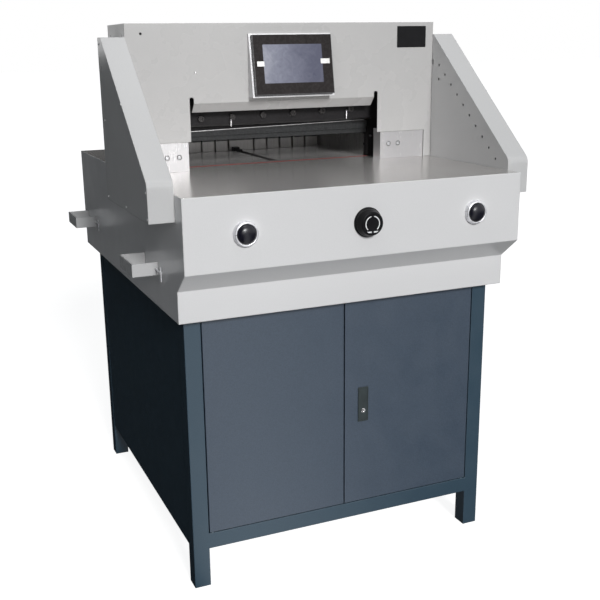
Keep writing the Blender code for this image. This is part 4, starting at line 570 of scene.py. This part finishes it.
marks = Surface("white knob marks", Specular_IOR_Level=0.5)
MARK_PAINT = marks.finish(
    marks.tones(marks.noise(scale=180.0), (0.3, (0.80, 0.81, 0.82)), (0.7, (0.90, 0.90, 0.90))),
    marks.remap(marks.noise(scale=300.0), NOISE, (0.35, 0.5)),
)
ARC_RADIUS, ARC_WIDTH, ARC_ANGLES = 0.0172, 0.0021, ((102, 228), (-48, 78))
DASH_XS, DASH_DROP, DASH_HALF_W, DASH_HALF_H, DASH_ROUND = (-0.0082, 0.0088), 0.0186, 0.0058, 0.0016, 0.0012
MARK_THICK = 0.0002
ring_at = (KNOB_AT[0], KNOB_AT[1] - KNOB_TOP, KNOB_AT[2])
dial = bmesh.new()
for start, end in ARC_ANGLES:
    arc_band(dial, ring_at, ARC_RADIUS, ARC_WIDTH, start, end, MARK_THICK)
for x in DASH_XS:
    dash = rounded_rect(DASH_HALF_W, DASH_HALF_H, DASH_ROUND)
    slab(dial, dash, MARK_THICK, facing(ring_at[0] + x, ring_at[1], ring_at[2] - DASH_DROP))
piece("knob_dial_marks", dial, "knob_plastic", "knob", MARK_PAINT)


# Display: screen field with a painted reflection, a painted highlight along the panel's front edge, and two
# film tabs on the tilted panel that stands proud of the case
glass_low, glass_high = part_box("display_screen")
case_low, case_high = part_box("display_case")
CASE_LEAN, CASE_RISE, CASE_SHIFT, CASE_RIM = 0.026, 0.158, 0.006, 0.0048
PANEL_OUT, SUNK = 0.012, 0.0001
TILT = math.atan2(CASE_LEAN, CASE_RISE)
GLASS_X = (glass_low.x + glass_high.x) / 2
GLASS_Y, GLASS_Z = (case_low.y + case_high.y - CASE_SHIFT) / 2, (case_low.z + case_high.z) / 2
GLASS_TURN = Matrix.Translation((GLASS_X, GLASS_Y, GLASS_Z)) @ Matrix.Rotation(QUARTER - TILT, 4, "X")


def on_glass(x, y, lift):
    """The place at a point of the display, with local Z out of it."""
    return GLASS_TURN @ Matrix.Translation((x, y, lift))


SCREEN_HALF = 0.085
# The screen's colour is a painted reflection: a glare brightest at the left and broken into clouds, over a
# dark panel
screen = Surface("screen glass with a painted reflection over a dark panel", Specular_IOR_Level=0.2)
left_to_right = screen.remap(screen.axis(screen.place, "X"), (-SCREEN_HALF, SCREEN_HALF), (0.0, 1.0))
cloud = screen.noise(scale=16.0, detail=4.0, distortion=1.2)
fine_cloud = screen.noise(scale=48.0, detail=5.0, shift=3.0, distortion=2.0)
lit = screen.maths("MULTIPLY", left_to_right, 0.62)
broad, fine = screen.maths("MULTIPLY", cloud, 0.42), screen.maths("MULTIPLY", fine_cloud, 0.28)
lit = screen.maths("ADD", lit, screen.maths("ADD", broad, fine))
# glow is the painted reflection's colour; the screen gives no light of its own
glow = screen.tones(
    lit, (0.28, (0.300, 0.310, 0.360)), (0.46, (0.205, 0.214, 0.265)), (0.62, (0.150, 0.156, 0.205)),
    (0.90, (0.088, 0.092, 0.132)),
)
PAINTED_GLARE_SCREEN = screen.finish(glow, screen.remap(screen.noise(scale=60.0, detail=3.0), NOISE, (0.26, 0.38)))

FIELD_AT, FIELD_HALF, FIELD_ROUND, FIELD_THICK = (-0.0015, 0.0022), (0.0810, 0.0478), 0.0015, 0.0004
field = bmesh.new()
slab(field, rounded_rect(*FIELD_HALF, FIELD_ROUND), FIELD_THICK, on_glass(*FIELD_AT, PANEL_OUT - SUNK))
piece("screen_field", field, "black_glass", "machine", PAINTED_GLARE_SCREEN, smooth=0)

EDGE_WIDE, EDGE_THICK, EDGE_ROUND_OUT, EDGE_ROUND_IN = 0.0011, 0.0005, 0.0016, 0.0008
panel_w, panel_h = (glass_high.x - glass_low.x) / 2, CASE_RISE / 2 - CASE_RIM
edge = bmesh.new()
frame_slab(
    edge, rounded_rect(panel_w, panel_h, EDGE_ROUND_OUT),
    rounded_rect(panel_w - EDGE_WIDE, panel_h - EDGE_WIDE, EDGE_ROUND_IN), EDGE_THICK,
    on_glass(0, 0, PANEL_OUT - SUNK),
)
# The panel's front edge is a light grey line: a painted highlight of its chamfer
EDGE_HIGHLIGHT = moulded("painted highlight on the panel edge", (0.11, 0.11, 0.115), rough=0.30, shine=0.3)
piece("screen_edge_highlight", edge, "black_glass", "machine", EDGE_HIGHLIGHT, smooth=0)

tab_film = Surface("white film tab", Specular_IOR_Level=0.6, Coat_Weight=0.3)
film_clouds = tab_film.noise(scale=70.0, detail=3.0)
TAB = tab_film.finish(
    tab_film.tones(film_clouds, (0.35, (0.74, 0.73, 0.71)), (0.7, (0.86, 0.86, 0.85))),
    tab_film.remap(tab_film.noise(scale=200.0), NOISE, (0.22, 0.36)),
)
TAB_HALF_H, TAB_ROUND, TAB_THICK, TAB_LIFT = 0.0062, 0.0008, 0.0003, 0.0004
for name, x, y, half in (
    ("left_film_tab", -0.0906, 0.0026, 0.0098), ("right_film_tab", 0.0872, 0.0070, 0.0126),
):
    tab = bmesh.new()
    slab(tab, rounded_rect(half, TAB_HALF_H, TAB_ROUND), TAB_THICK, on_glass(x, y, PANEL_OUT + TAB_LIFT))
    piece(name, tab, "black_glass", "machine", TAB, smooth=0)


# Hood: bare label plate, a small plug and a rivet
HOOD_DEPTH, SMALL_STEPS = 0.416, 24
LABEL_X, LABEL_Z, LABEL_HALF, LABEL_ROUND, LABEL_THICK = 0.358, 1.2965, (0.044, 0.0275), 0.0015, 0.0006
LABEL_BEVEL = (0.0002, 2)
label = bmesh.new()
slab(label, rounded_rect(*LABEL_HALF, LABEL_ROUND), LABEL_THICK, facing(LABEL_X, HOOD_DEPTH, LABEL_Z))
piece("hood_label_plate", label, "black_plastic", "machine", bevel=LABEL_BEVEL)
PLUG = ((0.0, 0.0002), (0.0019, 0.0002), (0.0022, 0.0008), (0.0030, 0.0006), (0.0032, 0.0))
RIVET = ((0.0, 0.0012), (0.0014, 0.0010), (0.0024, 0.0004), (0.0026, 0.0))
for name, slot, x, z, profile in (
    ("hood_plug", "black_plastic", -0.3855, 1.310, PLUG), ("hood_rivet", "chrome", -0.252, 1.2165, RIVET),
):
    fastener = bmesh.new()
    lathe(fastener, profile, (x, HOOD_DEPTH, z), steps=SMALL_STEPS)
    piece(name, fastener, slot, "machine")

# Hood: corners that round the tops of the two slots beside the mouth's lip
SLOT_TOP, SLOT_WIDE, SLOT_ROUND = 1.157, 0.0108, 0.0050
SLOT_LEFTS, SLOT_DEPTH, SLOT_THICK, SLOT_STEPS = (-0.270, 0.257 - SLOT_WIDE), 0.4178, 0.0014, 8
corners = bmesh.new()
for slot_left in SLOT_LEFTS:
    for corner_x, way in ((slot_left, 1), (slot_left + SLOT_WIDE, -1)):
        outline = [(0.0, 0.0)]
        for step in range(SLOT_STEPS + 1):
            angle = QUARTER * step / SLOT_STEPS
            outline.append((way * SLOT_ROUND * (1 - math.sin(angle)), -SLOT_ROUND * (1 - math.cos(angle))))
        slab(corners, outline, SLOT_THICK, facing(corner_x, SLOT_DEPTH, SLOT_TOP))
piece("slot_top_corners", corners, "hood_paint", "machine", smooth=0)

# Screws, each kind with its head's radius and height, its socket's radius and its steps round
GUARD_SCREW, CARRIER_SCREW = (0.0030, 0.0014, 0.0014, 24), (0.0085, 0.0055, 0.0045, 36)
COLUMN_SCREW, PLATE_SCREW = (0.0036, 0.0026, 0.0018, 28), (0.0048, 0.0008, 0.0020, 36)

# Guard screws on both outer faces: depth and height of each
SCREW_PLACES = (
    (0.243, 1.156), (0.420, 1.111), (0.062, 0.983), (0.062, 0.925), (0.434, 0.925), (0.253, 0.925),
    (0.431, 1.288),
)
for side, direction in (("left", "-X"), ("right", "X")):
    low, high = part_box(side + "_guard")
    outer = low.x if side == "left" else high.x
    screws = bmesh.new()
    for depth, z in SCREW_PLACES:
        cap_screw(screws, (outer, depth, z), direction, *GUARD_SCREW)
    piece(side + "_guard_screws", screws, "chrome", "machine", DULL_ZINC)

# Knife carrier: a slanting row of six cap screws, and two setting pins in front of it
BOLT_COUNT, BOLT_X, BOLT_PITCH, BOLT_DEPTH, BOLT_Z, BOLT_CLIMB = 6, -0.226, 0.0855, 0.470, 1.1000, 0.0020
bolts = bmesh.new()
for index in range(BOLT_COUNT):
    at = (BOLT_X + BOLT_PITCH * index, BOLT_DEPTH, BOLT_Z + BOLT_CLIMB * index)
    cap_screw(bolts, at, "-Y", *CARRIER_SCREW)
piece("carrier_cap_screws", bolts, "black_iron", "knife", BOLT_STEEL)
PIN_DEPTH, PIN_RADIUS, PIN_NECK, PIN_EDGE, PIN_STEPS = 0.4664, 0.0032, 0.0024, 0.0006, 32
pins = bmesh.new()
for x, z, high in ((-0.1455, 1.0782, 0.0188), (0.1885, 1.0840, 0.0240)):
    lathe(pins, (
        (0.0, high), (PIN_RADIUS - PIN_EDGE, high), (PIN_RADIUS, high - PIN_EDGE), (PIN_RADIUS, 0.0060),
        (PIN_NECK, 0.0050), (PIN_NECK, 0.0), (0.0, 0.0),
    ), (x, PIN_DEPTH, z), "Z", PIN_STEPS)
piece("knife_setting_pins", pins, "chrome", "knife")

# Clamp: a black face on its front, whose slanting foot carries the bright ground edge
TAPER_X, TAPER_TOP, TAPER_FOOT, EDGE_LINE = (-0.268, 0.262), 1.0768, (1.0650, 1.0750), 0.0018
for name, slot, tops, foot_lift, thick in (
    ("clamp_black_face", "black_iron", (TAPER_TOP, TAPER_TOP), EDGE_LINE, 0.0013),
    ("clamp_bright_edge", "polished_steel", [foot + EDGE_LINE for foot in TAPER_FOOT], 0.0, 0.0016),
):
    face = bmesh.new()
    slab(face, [
        (TAPER_X[0], TAPER_FOOT[0] + foot_lift), (TAPER_X[1], TAPER_FOOT[1] + foot_lift),
        (TAPER_X[1], tops[1]), (TAPER_X[0], tops[0]),
    ], thick, facing(0.0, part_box("clamp_bar")[0].y - FACE, 0.0))
    piece(name, face, slot, "clamp", smooth=0)

# Column: small bright screw beside the side gauge
COLUMN_SCREW_AT = (0.2842, 0.508, 1.031)
screw = bmesh.new()
cap_screw(screw, COLUMN_SCREW_AT, "-Y", *COLUMN_SCREW)
piece("column_screw", screw, "chrome", "machine")

# Foot plates: two countersunk screws each, each ringed by a black annulus that is painted shade for the
# shadow round its head
SHADE_RING, SHADE_RING_STEPS = ((0.0050, 0.0), (0.0050, 0.0003), (0.0064, 0.0003), (0.0066, 0.0)), 36
for side, screw_xs, screw_z in (("left", (-0.3022, -0.3336), 1.0115), ("right", (0.2938, 0.3229), 1.0155)):
    screws, shade_rings = bmesh.new(), bmesh.new()
    for x in screw_xs:
        at = (x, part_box(side + "_foot_plate")[0].y - FACE, screw_z)
        cap_screw(screws, at, "-Y", *PLATE_SCREW)
        lathe(shade_rings, SHADE_RING, at, steps=SHADE_RING_STEPS)
    piece(side + "_plate_screws", screws, "chrome", "machine", ZINC)
    piece(side + "_plate_screw_shade_rings", shade_rings, "black_iron", "machine")

# Door lock: raised rim round a recess, and a bright barrel
RIM_WIDE, RIM_THICK, RIM_ROUND_OUT, RIM_ROUND_IN, RIM_BEVEL = 0.0028, 0.0010, 0.003, 0.002, (0.0003, 2)
BARREL_Z, BARREL_STEPS = 0.390, 40
BARREL = (
    (0.0, 0.0004), (0.0036, 0.0004), (0.0039, 0.0012), (0.0052, 0.0014), (0.0060, 0.0008), (0.0062, 0.0),
)
low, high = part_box("lock_plate")
lock_x, lock_z = (low.x + high.x) / 2, (low.z + high.z) / 2
half_w, half_h = (high.x - low.x) / 2, (high.z - low.z) / 2
rim = bmesh.new()
frame_slab(
    rim, rounded_rect(half_w, half_h, RIM_ROUND_OUT),
    rounded_rect(half_w - RIM_WIDE, half_h - RIM_WIDE, RIM_ROUND_IN), RIM_THICK,
    facing(lock_x, low.y - FACE, lock_z),
)
piece("lock_rim", rim, "lock_plastic", "right_door", bevel=RIM_BEVEL)
barrel = bmesh.new()
lathe(barrel, BARREL, (lock_x, low.y - FACE, BARREL_Z), steps=BARREL_STEPS)
piece("lock_barrel", barrel, "chrome", "lock")


# Stage: pale floor, white ground for the camera, and a studio that darkens to the left and the back
class Stage(Nodes):
    def __init__(self, tree):
        super().__init__(tree)
        tree.nodes.clear()

    def background_strength(self, reflected):
        """1 for the camera and for glass, the given value for glossy rays, 0 for light."""
        path = self.new("LightPath")
        direct = self.maths("MAXIMUM", path.outputs["Is Camera Ray"], path.outputs["Is Transmission Ray"])
        return self.maths("MAXIMUM", direct, self.maths("MULTIPLY", path.outputs["Is Glossy Ray"], reflected))


FLOOR_GREYS, FLOOR_DIM, FLOOR_GLOW, FLOOR_NOISE = ((0.41,) * 3, (0.45,) * 3), (0.03,) * 3, 0.90, 3.0
FLOOR_SIZE, FLOOR_DROP = 60.0, 0.0002
LEFT_FADE = (-0.41, -0.33)
RIGHT_FADE, RIGHT_LEAST, RIGHT_SLANT, RIGHT_FROM_Y = (-0.27, 0.36), 0.08, 0.37, 0.44


def studio_floor():
    """Pale and diffuse for light, white for the camera; its reflection fades to the left and the right."""
    made = bpy.data.materials.new("pale studio floor")
    made.use_nodes = True
    s = Stage(made.node_tree)
    path = s.new("LightPath")
    place = s.new("TexCoord").outputs["Object"]
    noise = s.new("TexNoise")
    noise.inputs["Scale"].default_value = FLOOR_NOISE
    s.feed(noise.inputs["Vector"], place)
    pale = s.tones(noise.outputs["Fac"], (0.0, FLOOR_GREYS[0]), (1.0, FLOOR_GREYS[1]))
    x, y = s.axis(place, "X"), s.axis(place, "Y")
    from_left = s.remap(x, LEFT_FADE, (0.0, 1.0), eased=True)
    slanted = s.maths("ADD", x, s.maths("MULTIPLY", s.maths("ADD", y, RIGHT_FROM_Y), RIGHT_SLANT))
    to_right = s.remap(slanted, RIGHT_FADE, (1.0, RIGHT_LEAST), eased=True)
    reflected = s.maths("MULTIPLY", from_left, to_right)
    hidden = s.maths("MULTIPLY", path.outputs["Is Glossy Ray"], s.maths("SUBTRACT", 1.0, reflected))
    lit = s.new("BsdfDiffuse")
    s.feed(lit.inputs["Color"], s.mix(hidden, pale, FLOOR_DIM))
    glow = s.new("Emission")
    s.feed(glow.inputs["Strength"], s.maths("MULTIPLY", s.background_strength(reflected), FLOOR_GLOW))
    both = s.new("AddShader")
    s.feed(both.inputs[0], lit.outputs[0])
    s.feed(both.inputs[1], glow.outputs[0])
    s.feed(s.new("OutputMaterial").inputs["Surface"], both.outputs[0])
    return made


ground = bmesh.new()
bmesh.ops.create_grid(
    ground, x_segments=2, y_segments=2, size=FLOOR_SIZE, matrix=Matrix.Translation((0, 0, -FLOOR_DROP)),
)
floor_mesh = bpy.data.meshes.new("studio_floor")
ground.to_mesh(floor_mesh)
ground.free()
floor_mesh.materials.append(studio_floor())
floor = bpy.data.objects.new("studio_floor", floor_mesh)
bpy.context.scene.collection.objects.link(floor)
floor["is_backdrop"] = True

# World: a reflected white that fades to the left and the back, and a weak cool light that fades to the left
WORLD_LEFT, WORLD_LEFT_LEAST, WORLD_BACK, WORLD_BACK_LEAST = (-0.40, 0.10), 0.05, (0.10, 0.60), 0.06
AMBIENT_COLOUR, AMBIENT_FADE, AMBIENT_STRENGTH = (0.83, 0.92, 1.0), (-0.55, 0.25), (0.105, 0.135)
world = bpy.data.worlds.new("studio")
bpy.context.scene.world = world
world.use_nodes = True
s = Stage(world.node_tree)
aim = s.new("TexCoord").outputs["Generated"]
aim_x, aim_y = s.axis(aim, "X"), s.axis(aim, "Y")
from_left = s.remap(aim_x, WORLD_LEFT, (WORLD_LEFT_LEAST, 1.0), eased=True)
from_back = s.remap(aim_y, WORLD_BACK, (1.0, WORLD_BACK_LEAST), eased=True)
ambient = s.new("Background")
s.feed(ambient.inputs["Color"], AMBIENT_COLOUR)
s.feed(ambient.inputs["Strength"], s.remap(aim_x, AMBIENT_FADE, AMBIENT_STRENGTH, eased=True))
seen = s.new("Background")
s.feed(seen.inputs["Color"], (1.0, 1.0, 1.0))
s.feed(seen.inputs["Strength"], s.background_strength(s.maths("MULTIPLY", from_left, from_back)))
path = s.new("LightPath")
seen_ray = s.maths("MAXIMUM", path.outputs["Is Camera Ray"], path.outputs["Is Glossy Ray"])
choice = s.new("MixShader")
s.feed(choice.inputs[0], s.maths("MAXIMUM", seen_ray, path.outputs["Is Transmission Ray"]))
s.feed(choice.inputs[1], ambient.outputs[0])
s.feed(choice.inputs[2], seen.outputs[0])
s.feed(s.new("OutputWorld").inputs["Surface"], choice.outputs[0])


# Lamps
def place_lamp(name, lamp, towards, place=(0.0, 0.0, 0.0)):
    """Adds a lamp at a place; towards is the way from what it lights to the lamp."""
    made = bpy.data.objects.new(name, lamp)
    made.location = place
    made.rotation_mode = "QUATERNION"
    made.rotation_quaternion = Vector(towards).to_track_quat("Z", "Y")
    bpy.context.scene.collection.objects.link(made)
    return made


def sun(name, towards, strength, angle):
    lamp = bpy.data.lights.new(name, "SUN")
    lamp.energy = strength
    lamp.angle = math.radians(angle)
    place_lamp(name, lamp, towards)


def softbox(name, place, target, size, power):
    lamp = bpy.data.lights.new(name, "AREA")
    lamp.shape = "RECTANGLE"
    lamp.size, lamp.size_y = size
    lamp.energy = power
    place_lamp(name, lamp, Vector(place) - Vector(target), place).visible_camera = False


sun("front_key", towards=(-0.03, -0.92, 0.40), strength=2.6, angle=14)
softbox(
    "inner_softbox", place=(-0.28, -0.62, 1.85), target=(0.43, -0.25, 1.10), size=(0.5, 0.5), power=2.4,
)
softbox(
    "back_left_softbox", place=(-0.95, 2.05, 1.76), target=(-0.45, -0.10, 1.76), size=(0.7, 1.0), power=3.0,
)

# Camera at the photograph's place, with its focal length and its middle in pixels
PIXELS, FOCAL, MIDDLE, SENSOR = 600.0, 923.47, (284.94, 304.85), 36.0
PLACE, CLIP_END = (-0.9598, -2.3689, 1.2709), 200.0
YAW, PITCH, ROLL = math.radians(22.6075), math.radians(15.5102), math.radians(-0.9083)
ahead = Vector((math.sin(YAW) * math.cos(PITCH), math.cos(YAW) * math.cos(PITCH), -math.sin(PITCH)))
level_right = Vector((math.cos(YAW), -math.sin(YAW), 0.0))
level_up = level_right.cross(ahead)
right = math.cos(ROLL) * level_right + math.sin(ROLL) * level_up
up = -math.sin(ROLL) * level_right + math.cos(ROLL) * level_up
lens = bpy.data.cameras.new("camera")
lens.sensor_width = SENSOR
lens.lens = FOCAL * SENSOR / PIXELS
lens.shift_x = (PIXELS / 2 - MIDDLE[0]) / PIXELS
lens.shift_y = (MIDDLE[1] - PIXELS / 2) / PIXELS
lens.clip_end = CLIP_END
camera = bpy.data.objects.new("camera", lens)
camera.matrix_world = Matrix.Translation(PLACE) @ Matrix((right, up, -ahead)).transposed().to_4x4()
bpy.context.scene.collection.objects.link(camera)
bpy.context.scene.camera = camera

bpy.context.scene.view_settings.view_transform = "Standard"

low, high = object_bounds()
